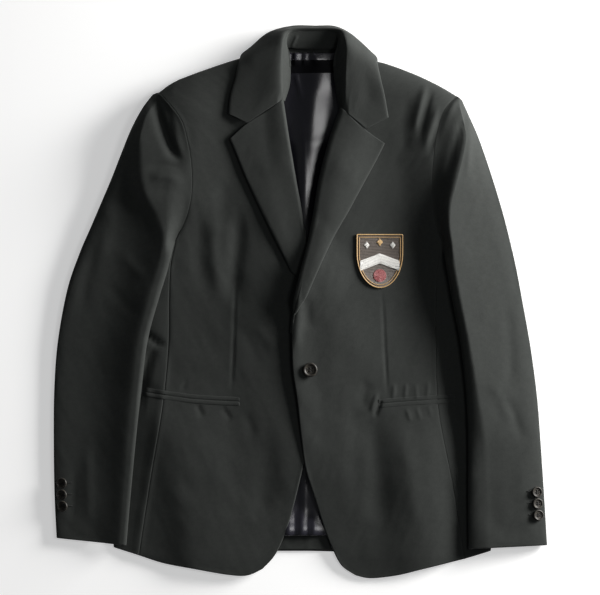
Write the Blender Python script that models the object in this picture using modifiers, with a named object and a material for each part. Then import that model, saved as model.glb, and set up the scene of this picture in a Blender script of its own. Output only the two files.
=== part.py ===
"""Tailored jacket laid flat on its back: cloth panels, collar, lapels, pockets, badge and buttons.

A Blender 4.5 script: blender --background --python part.py
Sizes in the tables are millimetres. +X is the wearer's left, +Y runs to the collar, +Z is up.
"left" and "right" in names are the wearer's, so the right side of the jacket is at -X.
"""

import math

import bmesh
import bpy
import numpy as np

MM = 0.001
# Middle of the laid jacket in the tables, which becomes the origin on the floor
MIDDLE = (0.5, 0.5, 0.0)

# Walls
SHELL_WALL = 1.4
FRONT_WALL = 2.4
SLEEVE_WALL = 1.6
COLLAR_WALL = 2.4
STAND_WALL = 2.0
LINING_WALL = 1.0
JET_WALL = 1.0
SEAM_GAP = 0.4
ROLL_GAP = 1.7
INSET_LOOK = 1.0
INSET_REACH = 8.0
LAYER_GAP = 0.5

# Where a rule starts to act and the length over which it grows
BACK_HEM_SLANT = 11.0
BACK_HEM_SLANT_FROM = (-240.0, 100.0)
BACK_HEM_BOW = 2.0
BACK_UNDERARM_RISE = 6.0
BACK_NECK_Y = 345.0
BACK_NECK_SHARE = 0.62
SHOULDER_SLOPE = 0.7
NECK_OPENING = (-76.0, 101.0)
NECK_FADE = 40.0
NECK_LIFT_FROM = (300.0, 38.0)
NECK_LIFT_SIDES = (-96.0, 121.0)
NECK_LIFT_FADE = 30.0
LINING_LIFT_FROM = (250.0, 50.0)
UNDERLAP_FROM = (-285.0, 40.0)
OVERLAP_FROM = (-300.0, 60.0)
OVERLAP_UNTIL = (250.0, 60.0)
SLEEVE_CLIMB_FROM = (36.0, 34.0)
SLEEVE_CLIMB_UNTIL = (92.0, 26.0)
SLEEVE_BLEND_FROM = (0.30, 0.42)
FLOOR_FOLD_DEPTH = 9.0
LAPEL_FALL = 30.0
LAPEL_LIFT = 1.2

# Layers of the body
LINING_LIFT = 0.4
LINING_NECK_LIFT = 1.8
SHOULDER_MID = 15.5
BACK_SHOULDER_MID = 11.0
SIDE_MID_SHARE = 0.45
SIDE_REACH = 34.0
SHOULDER_REACH = 45.0
BACK_SHOULDER_REACH = 30.0
NECK_LIFT = 3.4
BACK_SEAM_INSET = 48.0
OVERLAP_SINK = 3.2
OVERLAP_LIFT = 1.0
OVERLAP_REACH = 26.0
CROSSING = (12.0, 36.0)
CROSSING_REACH = 52.0
CROSSING_LIFT = 4.8
CROSSING_FLAT = 0.3

# Sleeves
SLEEVE_EDGE_REACH = 26.0
SLEEVE_UNDER_REACH = 10.0
SLEEVE_BODY_GAP = 1.8
SLEEVE_FOLD_HALF = 3.4
UNDERARM_SHARE = 0.85
SLEEVE_SEAM_GAP = 1.0
ARMHOLE_ROW = 7
BACK_ARMHOLE_SHARED = 3

# Trim
FRONT_BUTTON_DIAMETER = 20.0
CUFF_BUTTON_DIAMETER = 15.0
BUTTON_THICKNESS = 3.6
JET_WIDTH = 5.5
JET_SPACING = 6.6
JET_CROWN = 0.5
LABEL_SIZE = (66.0, 18.0)
LABEL_PLACE = (16.0, 326.0)
LABEL_WALL = 0.8
LABEL_LIFT = 1.3
BADGE_SIZE = (64.0, 74.0)
BADGE_CENTRE = (110.0, 57.0)
BADGE_WALL = 1.2
BADGE_CORD = 1.4
BADGE_CORD_SCALE = 0.95
BADGE_STRAIGHT = 0.35
BADGE_TIP = 0.06
BADGE_LAYER_GAP = 0.4
BAND_WALL = 0.8
BAND_REACH = 0.8
BAND_DOWN = 0.45
BAND_HALF = 6.0
BAND_DROP = 12.0
CUFF_BUTTON_GAP = 1.2
CUFF_BUTTON_TILT = math.radians(17.0)
FRONT_BUTTON_PLACE = (14.0, -93.0)

CENTRE_BACK = ((11.0, -344.0), (19.0, 349.0))

# Thickness of the laid body from hem to shoulder
BODY_COLUMNS = ("y", "height")
BODY_ROWS = (
    (-384, 3.6),
    (-352, 6.2),
    (-300, 9.0),
    (-240, 11.0),
    (-130, 13.0),
    (0, 15.0),
    (90, 18.0),
    (170, 22.0),
    (240, 26.0),
    (300, 27.0),
    (350, 27.0),
)

# The body's side folds and the front side seams, hem to underarm
SIDE_COLUMNS = ("right_y", "right_fold", "right_seam", "left_y", "left_fold", "left_seam")
SIDE_ROWS = (
    (-345, -258, -223, -350, 264, 228),
    (-245, -252, -207, -255, 257, 212),
    (-143, -243, -190, -150, 248, 192),
    (-60, -238, -182, -60, 243, 188),
    (3, -239, -181, 3, 246, 188),
    (50, -240, -179, 48, 248, 190),
    (84, -241, -172, 81, 250, 195),
)

# Shoulder seams, shoulder tip to neck
RIGHT_SHOULDER = ((-195, 290), (-175, 304), (-149, 315), (-121, 325), (-94, 334), (-76, 339))
LEFT_SHOULDER = ((216, 285), (196, 297), (168, 311), (141, 322), (118, 330), (101, 334))
RIGHT_NECKLINE = ((-76, 339), (-56, 334), (-43, 316), (-37, 298))
LEFT_NECKLINE = ((101, 334), (90, 326), (78, 308), (71, 288))

# Front hems, side seam to the rounded corner, and front edges, corner to break
RIGHT_HEM = ((-223, -350), (-189, -361), (-146, -369), (-100, -377), (-73, -378), (-52, -369))
LEFT_HEM = ((228, -355), (200, -362), (167, -370), (134, -378), (98, -382), (77, -378))
RIGHT_EDGE = ((-52, -369), (-37, -353), (-26, -333), (-14, -300), (1, -241), (17, -169),
              (28, -128), (37, -93), (40, -59), (37, -28))
LEFT_EDGE = ((77, -378), (58, -365), (46, -344), (34, -314), (21, -273), (8, -231),
             (2, -190), (-4, -135), (-10, -93), (-12, -52))

# Lapels from break to gorge: roll line, outer edge and radius of the roll
LAPEL_COLUMNS = ("roll_x", "roll_y", "edge_x", "edge_y", "bend")
RIGHT_LAPEL_ROWS = (
    (25, 16, 3, 9, 2.8),
    (17, 48, -11, 40, 3.2),
    (9, 90, -33, 83, 4.2),
    (1, 135, -54, 126, 4.4),
    (-7, 180, -74, 169, 4.6),
    (-15, 228, -89, 206, 4.8),
    (-23, 280, -97, 225, 5.0),
)
LEFT_LAPEL_ROWS = (
    (-12, -42, -4, -43, 3.2),
    (-8, -5, 6, -2, 3.4),
    (3, 42, 27, 48, 3.8),
    (14, 84, 47, 90, 4.2),
    (22, 125, 66, 123, 4.4),
    (30, 170, 85, 158, 4.6),
    (43, 220, 105, 195, 4.8),
    (59, 266, 117, 219, 5.0),
)
# Gorge and notch of each lapel, from the roll line to the lapel's point
RIGHT_GORGE = ((-50, 261), (-75, 245))
LEFT_GORGE = ((78, 248), (94, 235))

# Sleeve sections from cuff to shoulder tip: outer fold, inner fold or armhole seam of the top
# sleeve, inner fold or armhole seam of the under sleeve, and heights of the outer fold's
# middle, of the outer half and of the crest above the body's side.
SLEEVE_COLUMNS = ("outer_x", "outer_y", "inner_x", "inner_y", "under_x", "under_y",
                  "edge", "shelf", "crest")
RIGHT_SLEEVE_ROWS = (
    (-337, -326, -240, -336, -240, -336, 6.0, 11.0, 19.0),
    (-340, -262, -234, -266, -234, -266, 6.5, 12.0, 22.0),
    (-341, -180, -226, -183, -226, -183, 7.0, 13.0, 25.0),
    (-340, -115, -219, -120, -219, -120, 7.0, 14.0, 27.0),
    (-335, -52, -210, -51, -210, -51, 8.0, 15.0, 29.0),
    (-322, 18, -194, 8, -194, 8, 9.0, 17.0, 31.0),
    (-305, 68, -181, 52, -181, 52, 10.0, 19.0, 32.0),
    (-289, 105, -172, 86, -178, 96, 11.0, 21.0, 33.0),
    (-280, 126, -160, 110, -206, 98, 11.5, 23.0, 34.0),
    (-271, 147, -152, 135, -234, 97, 12.0, 25.0, 35.0),
    (-260, 173, -149, 160, -206, 118, 12.0, 27.0, 36.0),
    (-247, 206, -150, 190, -191, 160, 12.0, 28.0, 37.0),
    (-233, 240, -155, 222, -187, 210, 12.0, 29.0, 37.0),
    (-218, 268, -166, 255, -190, 252, 12.0, 27.0, 34.0),
    (-204, 287, -195, 290, -195, 285, 12.0, 18.0, 20.0),
)
LEFT_SLEEVE_ROWS = (
    (342, -336, 233, -341, 233, -341, 6.0, 11.0, 19.0),
    (338, -270, 232, -266, 232, -266, 6.5, 12.0, 22.0),
    (333, -195, 232, -190, 232, -190, 7.0, 13.0, 25.0),
    (328, -130, 229, -126, 229, -126, 7.0, 14.0, 27.0),
    (319, -62, 222, -62, 222, -62, 8.0, 15.0, 29.0),
    (308, 0, 212, -8, 212, -8, 9.0, 17.0, 31.0),
    (299, 48, 203, 42, 203, 42, 10.0, 19.0, 32.0),
    (290, 87, 195, 82, 201, 93, 11.0, 21.0, 33.0),
    (283, 115, 187, 108, 222, 97, 11.5, 23.0, 34.0),
    (275, 143, 182, 136, 244, 96, 12.0, 25.0, 35.0),
    (266, 172, 182, 166, 221, 118, 12.0, 27.0, 36.0),
    (256, 202, 184, 198, 207, 160, 12.0, 28.0, 37.0),
    (245, 232, 188, 230, 202, 208, 12.0, 29.0, 37.0),
    (233, 259, 198, 264, 206, 250, 12.0, 27.0, 34.0),
    (224, 279, 216, 285, 216, 280, 12.0, 18.0, 20.0),
)

# Collar leaf sections, right gorge round the neck to left gorge. Each row holds five points
# (x, y, z): where the stand starts, the roll, the crest beside it, the middle and the edge.
LEAF_COLUMNS = ("start", "roll", "crest", "middle", "edge")
LEAF_ROWS = (
    ((-30, 279, 28), (-23, 282, 31), (-31, 277, 34), (-73, 250, 31), (-102, 263, 30)),
    ((-29, 300, 29), (-23, 301, 32), (-31, 300, 35), (-64, 289, 32), (-97, 283, 31)),
    ((-29, 325, 29), (-23, 326, 32), (-31, 326, 35), (-60, 320, 32), (-90, 308, 30)),
    ((-28, 346, 28), (-23, 348, 31), (-30, 350, 34), (-60, 343, 29), (-85, 331, 25)),
    ((-24, 357, 27), (-21, 362, 29), (-29, 364, 31), (-60, 357, 19), (-80, 345, 10)),
    ((-16, 366, 24), (-15, 373, 27), (-24, 375, 27), (-46, 372, 13), (-58, 348, 1)),
    ((-2, 370, 22), (-2, 377, 25), (-6, 380, 21), (-14, 380, 10), (-24, 348, 0)),
    ((20, 370, 21), (20, 377, 24), (20, 380, 21), (20, 380, 9), (20, 346, 0)),
    ((41, 370, 22), (41, 377, 25), (45, 380, 21), (51, 379, 10), (60, 347, 0)),
    ((54, 366, 24), (54, 373, 27), (62, 374, 27), (77, 366, 13), (88, 346, 1)),
    ((61, 357, 27), (59, 362, 29), (67, 361, 31), (91, 351, 19), (106, 340, 10)),
    ((66, 346, 28), (61, 348, 31), (68, 347, 34), (92, 337, 29), (108, 328, 25)),
    ((66, 325, 29), (61, 326, 32), (68, 325, 35), (93, 314, 32), (112, 306, 30)),
    ((66, 300, 29), (60, 301, 32), (68, 299, 35), (93, 283, 32), (117, 283, 31)),
    ((66, 265, 28), (59, 268, 31), (67, 264, 34), (91, 242, 31), (122, 256, 30)),
)
# Neck seam of the stand below the rows of the leaf that it backs
STAND_FIRST_ROW = 2
STAND_SEAM = (
    (-40, 322, 26), (-38, 340, 20), (-30, 348, 13), (-17, 351, 8), (-2, 350, 6), (20, 350, 5.6),
    (41, 350, 6), (56, 350, 8), (68, 346, 13), (75, 338, 20), (77, 322, 26),
)

# Back lining from the turned-up hem to the neck
LINING_COLUMNS = ("y", "right_x", "left_x")
LINING_ROWS = (
    (-323, -205, 208),
    (-150, -190, 195),
    (60, -184, 192),
    (180, -150, 168),
    (290, -78, 98),
    (345, -34, 62),
)
HEM_STRIP = (-342.5, -323.6)

# Largest folds: centre line, half width and rise (a trough's is negative)
FOLD_COLUMNS = ("start_x", "start_y", "end_x", "end_y", "width", "rise")
FRONT_FOLDS = (
    (196, 190, 226, -330, 22, -4.0),
    (-88, 90, -92, -60, 9, -1.6),
    (118, 20, 122, -120, 9, -1.2),
    (-186, -185, -140, -300, 16, -1.6),
    (104, -150, 122, -320, 16, -1.6),
)
SLEEVE_FOLDS = (
    (-232, 165, -200, 80, 12, -5.0),
    (-190, 262, -164, 200, 9, -4.0),
    (226, 238, 205, 170, 8, -4.0),
)

# Pockets, side seam end to dart end, and the places of the cuff buttons
JETS = {
    -1: ((-218, -123), (-150, -133), (-83, -137)),
    1: ((108, -140), (160, -136), (214, -133)),
}
CUFF_BUTTONS = {
    -1: ((-329, -250), (-329, -266), (-328, -282)),
    1: ((327, -262), (328, -278), (329, -294)),
}
BUTTON_PROFILE_COLUMNS = ("radius_share", "height_share")
BUTTON_PROFILE = (
    (0.0, 0.62),
    (0.62, 0.62),
    (0.74, 0.96),
    (0.88, 1.0),
    (1.0, 0.7),
    (0.97, 0.3),
    (0.8, 0.0),
    (0.0, 0.0),
)

# Stations of the grids
SIDE_STATIONS = 12
ARMHOLE_STATIONS = 8
EDGE_STATIONS = 12
FRONT_COLUMNS_SHOULDER = 9
FRONT_COLUMNS_NECK = 3
SLEEVE_LOWER_STATIONS = 11
FOLD_ANGLES = (0, 6, 30, 58, 90)
SLEEVE_MIDDLE_COLUMNS = 5
BEND_ANGLES = (0, 6, 40, 75, 110, 145, 180)
LAPEL_LEAF_COLUMNS = 4
COLLAR_STEPS = 2


def table(columns, rows):
    """Columns of a table by name."""
    return {name: np.array([row[place] for row in rows], float)
            for place, name in enumerate(columns)}


BODY = table(BODY_COLUMNS, BODY_ROWS)
SIDES = table(SIDE_COLUMNS, SIDE_ROWS)
LINING = table(LINING_COLUMNS, LINING_ROWS)
LEAF = table(LEAF_COLUMNS, LEAF_ROWS)
SLEEVES = {-1: table(SLEEVE_COLUMNS, RIGHT_SLEEVE_ROWS), 1: table(SLEEVE_COLUMNS, LEFT_SLEEVE_ROWS)}
LAPELS = {-1: table(LAPEL_COLUMNS, RIGHT_LAPEL_ROWS), 1: table(LAPEL_COLUMNS, LEFT_LAPEL_ROWS)}
HEMS = {-1: RIGHT_HEM, 1: LEFT_HEM}
EDGES = {-1: RIGHT_EDGE, 1: LEFT_EDGE}
SHOULDERS = {-1: RIGHT_SHOULDER, 1: LEFT_SHOULDER}
NECKLINES = {-1: RIGHT_NECKLINE, 1: LEFT_NECKLINE}
GORGES = {-1: RIGHT_GORGE, 1: LEFT_GORGE}
SIDE_NAMES = {-1: "right", 1: "left"}


# --- curves and patches ---

def spline(points, places):
    """Smooth curve through the points, read at places counted from 0 along the points."""
    points = np.asarray(points, float)
    places = np.asarray(places, float)
    last = len(points) - 1
    index = np.clip(np.floor(places).astype(int), 0, last - 1)
    part = (places - index)[:, None]
    before = points[np.maximum(index - 1, 0)]
    here = points[index]
    there = points[index + 1]
    after = points[np.minimum(index + 2, last)]
    leave = 0.5 * (there - before)
    arrive = 0.5 * (after - here)
    square = part * part
    cube = square * part
    return ((2 * cube - 3 * square + 1) * here + (cube - 2 * square + part) * leave
            + (3 * square - 2 * cube) * there + (cube - square) * arrive)


def stations(points, count):
    """Points at even steps of length along the smooth curve through the points."""
    fine = spline(points, np.linspace(0, len(points) - 1, 40 * len(points)))
    lengths = np.concatenate(([0.0], np.cumsum(np.linalg.norm(np.diff(fine, axis=0), axis=1))))
    wanted = np.linspace(0.0, lengths[-1], count)
    return np.stack([np.interp(wanted, lengths, fine[:, axis])
                     for axis in range(fine.shape[1])], axis=1)


def joined(first, second):
    """Two runs of points that share the point where they meet."""
    return np.concatenate((first, second[1:]))


def coons(bottom, top, start, end):
    """Plan points of a panel between four edges that share their corners."""
    across = np.linspace(0, 1, len(bottom))[None, :, None]
    along = np.linspace(0, 1, len(start))[:, None, None]
    between_rows = (1 - along) * bottom[None] + along * top[None]
    between_columns = (1 - across) * start[:, None] + across * end[:, None]
    corners = ((1 - across) * (1 - along) * bottom[0] + across * (1 - along) * bottom[-1]
               + (1 - across) * along * top[0] + across * along * top[-1])
    return between_rows + between_columns - corners


def soft_step(value):
    """0 below 0, 1 above 1 and smooth between."""
    value = np.clip(value, 0.0, 1.0)
    return value * value * (3.0 - 2.0 * value)


def pillow(distance, reach):
    """Round shoulder of a soft edge: 0 at the edge and 1 from the reach inwards."""
    part = 1.0 - np.clip(np.asarray(distance, float) / reach, 0.0, 1.0)
    return np.sqrt(1.0 - part * part)


def folds(rows, x, y):
    """Height that a table of soft folds adds at a point."""
    total = np.zeros(np.broadcast(x, y).shape)
    for start_x, start_y, end_x, end_y, width, rise in rows:
        run = np.array((end_x - start_x, end_y - start_y), float)
        length = np.hypot(run[0], run[1])
        run /= length
        along = (x - start_x) * run[0] + (y - start_y) * run[1]
        aside = (x - start_x) * run[1] - (y - start_y) * run[0]
        fade = soft_step(along / (0.35 * length)) * soft_step((length - along) / (0.35 * length))
        total = total + rise * fade * np.exp(-(aside / width) ** 2)
    return total


# --- heights of the laid jacket ---

def side_column(name, side, y):
    """A column of the side table on one side, at y."""
    word = SIDE_NAMES[side]
    return np.interp(y, SIDES[word + "_y"], SIDES[word + "_" + name])


def shoulder_line(x):
    """Y of the shoulder's silhouette above x."""
    right = np.array(RIGHT_SHOULDER, float)
    left = np.array(LEFT_SHOULDER, float)[::-1]
    line = np.concatenate((right, left))
    y = np.interp(x, line[:, 0], line[:, 1])
    y = y - SHOULDER_SLOPE * np.maximum(line[0, 0] - x, 0.0)
    return y - SHOULDER_SLOPE * np.maximum(x - line[-1, 0], 0.0)


def body_top(x, y):
    """Height of the fronts' outer face above the floor."""
    height = np.interp(y, BODY["y"], BODY["height"])
    inside = np.minimum(x - side_column("fold", -1, y), side_column("fold", 1, y) - x)
    side_share = pillow(inside, SIDE_REACH)
    shoulder_share = pillow(shoulder_line(x) - y, SHOULDER_REACH)
    side_mid = SIDE_MID_SHARE * height
    z = side_mid + (height - side_mid) * side_share
    z = SHOULDER_MID + (z - SHOULDER_MID) * shoulder_share
    return z + folds(FRONT_FOLDS, x, y) * soft_step(inside / SIDE_REACH)


def risen(value, begin):
    """How far a rule has grown: 0 where it starts and 1 after its length."""
    start, length = begin
    return soft_step((value - start) / length)


def left_edge_x(y):
    """X of the left front's edge or roll line, which the right front passes under."""
    lapel = LAPELS[1]
    line_y = np.concatenate((np.array(LEFT_EDGE)[:, 1], lapel["roll_y"][1:]))
    line_x = np.concatenate((np.array(LEFT_EDGE)[:, 0], lapel["roll_x"][1:]))
    return np.interp(y, line_y, line_x)


def front_top(side, x, y):
    """Height of one front's outer face: the left front laps over the right one."""
    z = body_top(x, y)
    near = left_edge_x(y)
    if side < 0:
        under = soft_step((x - near + OVERLAP_REACH) / OVERLAP_REACH)
        return z - OVERLAP_SINK * under * risen(y, UNDERLAP_FROM)
    over = 1.0 - soft_step((x - near - OVERLAP_REACH) / OVERLAP_REACH)
    away = np.hypot(x - CROSSING[0], y - CROSSING[1]) / CROSSING_REACH
    end, fade = OVERLAP_UNTIL
    over = over * risen(y, OVERLAP_FROM) * soft_step((end - y) / fade)
    crossing = 1.0 - soft_step(away - CROSSING_FLAT)
    return z + OVERLAP_LIFT * over + CROSSING_LIFT * crossing


def neck_share(x):
    """1 across the neck opening, 0 on the shoulders."""
    right, left = NECK_OPENING
    return soft_step((x - right) / NECK_FADE) * soft_step((left - x) / NECK_FADE)


def back_under(x, y):
    """Height of the back's outer face, which rests on the floor."""
    rise = BACK_SHOULDER_MID * (1.0 - pillow(shoulder_line(x) - y, BACK_SHOULDER_REACH))
    right, left = NECK_LIFT_SIDES
    neck = NECK_LIFT * risen(y, NECK_LIFT_FROM) * soft_step((x - right) / NECK_LIFT_FADE)
    neck = neck * soft_step((left - x) / NECK_LIFT_FADE)
    return rise * (1.0 - neck_share(x)) + neck


def hem_slant(y):
    """How much shorter the back is than the front near the hem."""
    start, length = BACK_HEM_SLANT_FROM
    return BACK_HEM_SLANT * soft_step((start - y) / length)


# --- meshes ---

def world(point):
    """A point of the tables in metres from the origin."""
    return (np.asarray(point, float) - MIDDLE) * MM


def finish(name, colour, roughness, metallic=0.0):
    """A plain surface with the cloth's or trim's own colour."""
    material = bpy.data.materials.new(name)
    material.use_nodes = True
    shader = material.node_tree.nodes["Principled BSDF"]
    shader.inputs["Base Color"].default_value = (*colour, 1.0)
    shader.inputs["Roughness"].default_value = roughness
    shader.inputs["Metallic"].default_value = metallic
    return material


def keep(name, mesh, material, collection):
    """Link a mesh to the jacket's collection under its own material."""
    piece = bpy.data.objects.new(name, mesh)
    collection.objects.link(piece)
    mesh.materials.append(material)
    return piece


def drawn_in(line, gap):
    """A line of grid points with its first point moved along it by half the gap."""
    distance = np.linalg.norm(line - line[0], axis=1)
    aim = line[np.argmax(distance > INSET_LOOK)] - line[0]
    aim /= np.linalg.norm(aim)
    share = np.clip(1.0 - distance / INSET_REACH, 0.0, 1.0)[:, None]
    return line + aim * share * gap / 2


def inset(grid, gap):
    """Draw the rim of a grid in by half the gap, so that seams stay apart."""
    inner = grid.copy()
    for _ in range(2):
        for row in range(len(inner)):
            line = drawn_in(inner[row], gap)
            inner[row] = drawn_in(line[::-1], gap)[::-1]
        inner = inner.transpose(1, 0, 2).copy()
    return inner


def sheet(name, grid, wall, material, collection, outward, gap=SEAM_GAP):
    """A cloth panel: a grid moved onto its surface, with its wall behind the outer face."""
    rows, columns = grid.shape[:2]
    points = inset(grid, gap)
    points[..., 2] = np.maximum(points[..., 2], 0.0)
    mesh = bpy.data.meshes.new(name)
    cloth = bmesh.new()
    bmesh.ops.create_grid(cloth, x_segments=columns - 1, y_segments=rows - 1, size=0.5)
    for vertex in cloth.verts:
        column = round((vertex.co.x + 0.5) * (columns - 1))
        row = round((vertex.co.y + 0.5) * (rows - 1))
        vertex.co = world(points[row, column])
    cloth.normal_update()
    facing = sum(face.normal.dot(outward) * face.calc_area() for face in cloth.faces)
    if facing < 0:
        bmesh.ops.reverse_faces(cloth, faces=cloth.faces)
    cloth.to_mesh(mesh)
    cloth.free()
    mesh.shade_smooth()
    piece = keep(name, mesh, material, collection)
    solid = piece.modifiers.new("wall", "SOLIDIFY")
    solid.thickness = wall * MM
    solid.offset = -1.0
    return piece


# --- body ---

def side_seam(side):
    """Plan points of the front side seam, hem to underarm."""
    word = SIDE_NAMES[side]
    points = np.stack((SIDES[word + "_seam"], SIDES[word + "_y"]), axis=1)
    points[0] = HEMS[side][0]
    return stations(points, SIDE_STATIONS)


def armhole(side, column="inner"):
    """Plan points of the armhole seam, underarm to shoulder tip."""
    sleeve = SLEEVES[side]
    points = np.stack((sleeve[column + "_x"], sleeve[column + "_y"]), axis=1)
    last = len(points) - 1
    return spline(points, np.linspace(ARMHOLE_ROW, last, ARMHOLE_STATIONS))


def lapel_lines(side, count):
    """Roll line, outer edge and roll radius of a lapel at even stations."""
    lapel = LAPELS[side]
    places = np.linspace(0, len(lapel["bend"]) - 1, count)
    roll = spline(np.stack((lapel["roll_x"], lapel["roll_y"]), axis=1), places)
    edge = spline(np.stack((lapel["edge_x"], lapel["edge_y"]), axis=1), places)
    bend = np.interp(places, np.arange(len(lapel["bend"])), lapel["bend"])
    return roll, edge, bend


def roll_base(side, count):
    """Plan points where a front ends and its lapel's roll begins."""
    roll, edge, bend = lapel_lines(side, count)
    aim = edge - roll
    aim /= np.linalg.norm(aim, axis=1, keepdims=True)
    return roll + aim * bend[:, None]


def front_plan(side):
    """Plan points of a front, hem to shoulder and side seam to front edge."""
    roll_count = SIDE_STATIONS + ARMHOLE_STATIONS - EDGE_STATIONS
    base = roll_base(side, roll_count)
    hem = stations(HEMS[side], FRONT_COLUMNS_SHOULDER + FRONT_COLUMNS_NECK)
    edge_points = [*EDGES[side][:-1], base[0]]
    edge = stations(edge_points, EDGE_STATIONS)
    outer = joined(side_seam(side), armhole(side))
    shoulder = stations(SHOULDERS[side], FRONT_COLUMNS_SHOULDER)
    neck = stations([*NECKLINES[side], base[-1]], FRONT_COLUMNS_NECK + 1)
    return coons(hem, joined(shoulder, neck), outer, joined(edge, base))


def lifted(plan, heights):
    """Add heights to plan points."""
    return np.concatenate((plan, heights[..., None]), axis=-1)


def build_fronts(cloth, collection):
    for side in (-1, 1):
        plan = front_plan(side)
        grid = lifted(plan, front_top(side, plan[..., 0], plan[..., 1]))
        sheet("front_" + SIDE_NAMES[side], grid, FRONT_WALL, cloth, collection, (0, 0, 1))


def build_lapels(cloth, collection):
    """Facings rolled back over the fronts."""
    count = SIDE_STATIONS + ARMHOLE_STATIONS - EDGE_STATIONS
    for side in (-1, 1):
        roll, edge, bend = lapel_lines(side, count)
        gorge = stations([roll[-1], *GORGES[side], edge[-1]], LAPEL_LEAF_COLUMNS + 1)
        grid = []
        for row in range(count):
            aim = edge[row] - roll[row]
            width = np.linalg.norm(aim)
            aim = aim / width
            radius = bend[row]
            base = roll[row] + aim * radius
            ground = float(front_top(side, base[0], base[1]))
            low = ground - FRONT_WALL
            points = []
            for degrees in BEND_ANGLES:
                angle = math.radians(degrees)
                place = base - aim * radius * math.sin(angle)
                points.append((place[0], place[1], low + radius * (1 - math.cos(angle))))
            crest = low + 2 * radius
            rest = max(width - radius, 1.0)
            for step in range(1, LAPEL_LEAF_COLUMNS + 1):
                part = step / LAPEL_LEAF_COLUMNS
                place = base + aim * rest * part
                if row == count - 1:
                    place = gorge[step]
                under = float(front_top(side, place[0], place[1]))
                top = under + COLLAR_WALL + LAPEL_LIFT
                fall = soft_step(part * rest / LAPEL_FALL)
                points.append((place[0], place[1], max(top, crest + (top - crest) * fall)))
            grid.append(points)
        sheet("lapel_" + SIDE_NAMES[side], np.array(grid), COLLAR_WALL, cloth, collection,
              (0, 0, 1), ROLL_GAP)


def build_sides(cloth, collection):
    """Side panels, wrapped round the folds at the body's sides."""
    angles = np.radians(FOLD_ANGLES[1:])
    for side in (-1, 1):
        seam = side_seam(side)
        grid = []
        for seam_x, seam_y in seam:
            fold = float(side_column("fold", side, seam_y))
            height = float(np.interp(seam_y, BODY["y"], BODY["height"]))
            mid = SIDE_MID_SHARE * height
            slant = hem_slant(seam_y)
            points = [(fold - side * BACK_SEAM_INSET, seam_y + slant, 0.0)]
            for angle in angles[::-1]:
                depth = FLOOR_FOLD_DEPTH * (1 - math.cos(angle))
                points.append((fold - side * depth, seam_y + slant, mid * (1 - math.sin(angle))))
            points.append((fold, seam_y + slant, mid))
            reach = min(SIDE_REACH, abs(fold - seam_x) - 2.0)
            for angle in angles:
                depth = reach * (1 - math.cos(angle))
                x = fold - side * depth
                y = seam_y + slant * (1 - depth / abs(fold - seam_x))
                points.append((x, y, float(body_top(x, y))))
            points.append((seam_x, seam_y, float(front_top(side, seam_x, seam_y))))
            grid.append(points)
        sheet("side_" + SIDE_NAMES[side], np.array(grid), SHELL_WALL, cloth, collection,
              (side, 0, 0))


def build_backs(cloth, collection):
    """Half backs from the centre seam to the side panels and armholes."""
    for side in (-1, 1):
        seam = side_seam(side)
        inner_x = side_column("fold", side, seam[:, 1]) - side * BACK_SEAM_INSET
        side_line = np.stack((inner_x, seam[:, 1] + hem_slant(seam[:, 1])), axis=1)
        side_line[-1, 1] += BACK_UNDERARM_RISE
        shared = armhole(side, "under")[-BACK_ARMHOLE_SHARED:]
        outer = np.concatenate((side_line, [(side_line[-1] + shared[0]) / 2], shared))
        rows = len(outer)
        centre = stations(CENTRE_BACK, rows)
        hem_corner = outer[0]
        hem_middle = (hem_corner + centre[0]) / 2 - (0, BACK_HEM_BOW)
        hem = stations((hem_corner, hem_middle, centre[0]), 9)
        neck_point = SHOULDERS[side][-1]
        bend_x = neck_point[0] * BACK_NECK_SHARE + centre[-1][0] * (1 - BACK_NECK_SHARE)
        neck = (neck_point, (bend_x, BACK_NECK_Y), centre[-1])
        top = joined(stations(SHOULDERS[side], 6), stations(neck, 4))
        plan = coons(hem, top, outer, centre)
        grid = lifted(plan, back_under(plan[..., 0], plan[..., 1]))
        sheet("back_" + SIDE_NAMES[side], grid, SHELL_WALL, cloth, collection, (0, 0, -1))


# --- sleeves ---

def sleeve_lines(side):
    """Sleeve table read at even stations from cuff to shoulder tip."""
    sleeve = SLEEVES[side]
    lower = np.linspace(0, ARMHOLE_ROW, SLEEVE_LOWER_STATIONS)
    upper = np.linspace(ARMHOLE_ROW, len(sleeve["edge"]) - 1, ARMHOLE_STATIONS)
    places = joined(lower, upper)
    names = list(SLEEVE_COLUMNS)
    whole = spline(np.stack([sleeve[name] for name in names], axis=1), places)
    return {name: whole[:, place] for place, name in enumerate(names)}


def sleeve_columns(width, reach_start, reach_end):
    """Distances across a sleeve from the outer fold, close together at both folds."""
    angles = np.radians(FOLD_ANGLES)
    start = min(reach_start, 0.45 * width) * (1 - np.cos(angles))
    end = width - min(reach_end, 0.45 * width) * (1 - np.cos(angles[::-1]))
    middle = np.linspace(start[-1], end[0], SLEEVE_MIDDLE_COLUMNS)[1:-1]
    return np.concatenate((start, middle, end))


def sleeve_rest(side, x, y):
    """Height of what the under sleeve lies on: the floor, then the body's side."""
    fold = side_column("fold", side, y)
    inside = side * (fold - x)
    outside, length = SLEEVE_CLIMB_FROM
    ramp = soft_step((inside + outside) / length) * (1 - risen(y, SLEEVE_CLIMB_UNTIL))
    height = np.interp(y, BODY["y"], BODY["height"]) + folds(FRONT_FOLDS, x, y)
    return ramp * (height + SLEEVE_BODY_GAP)


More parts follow.
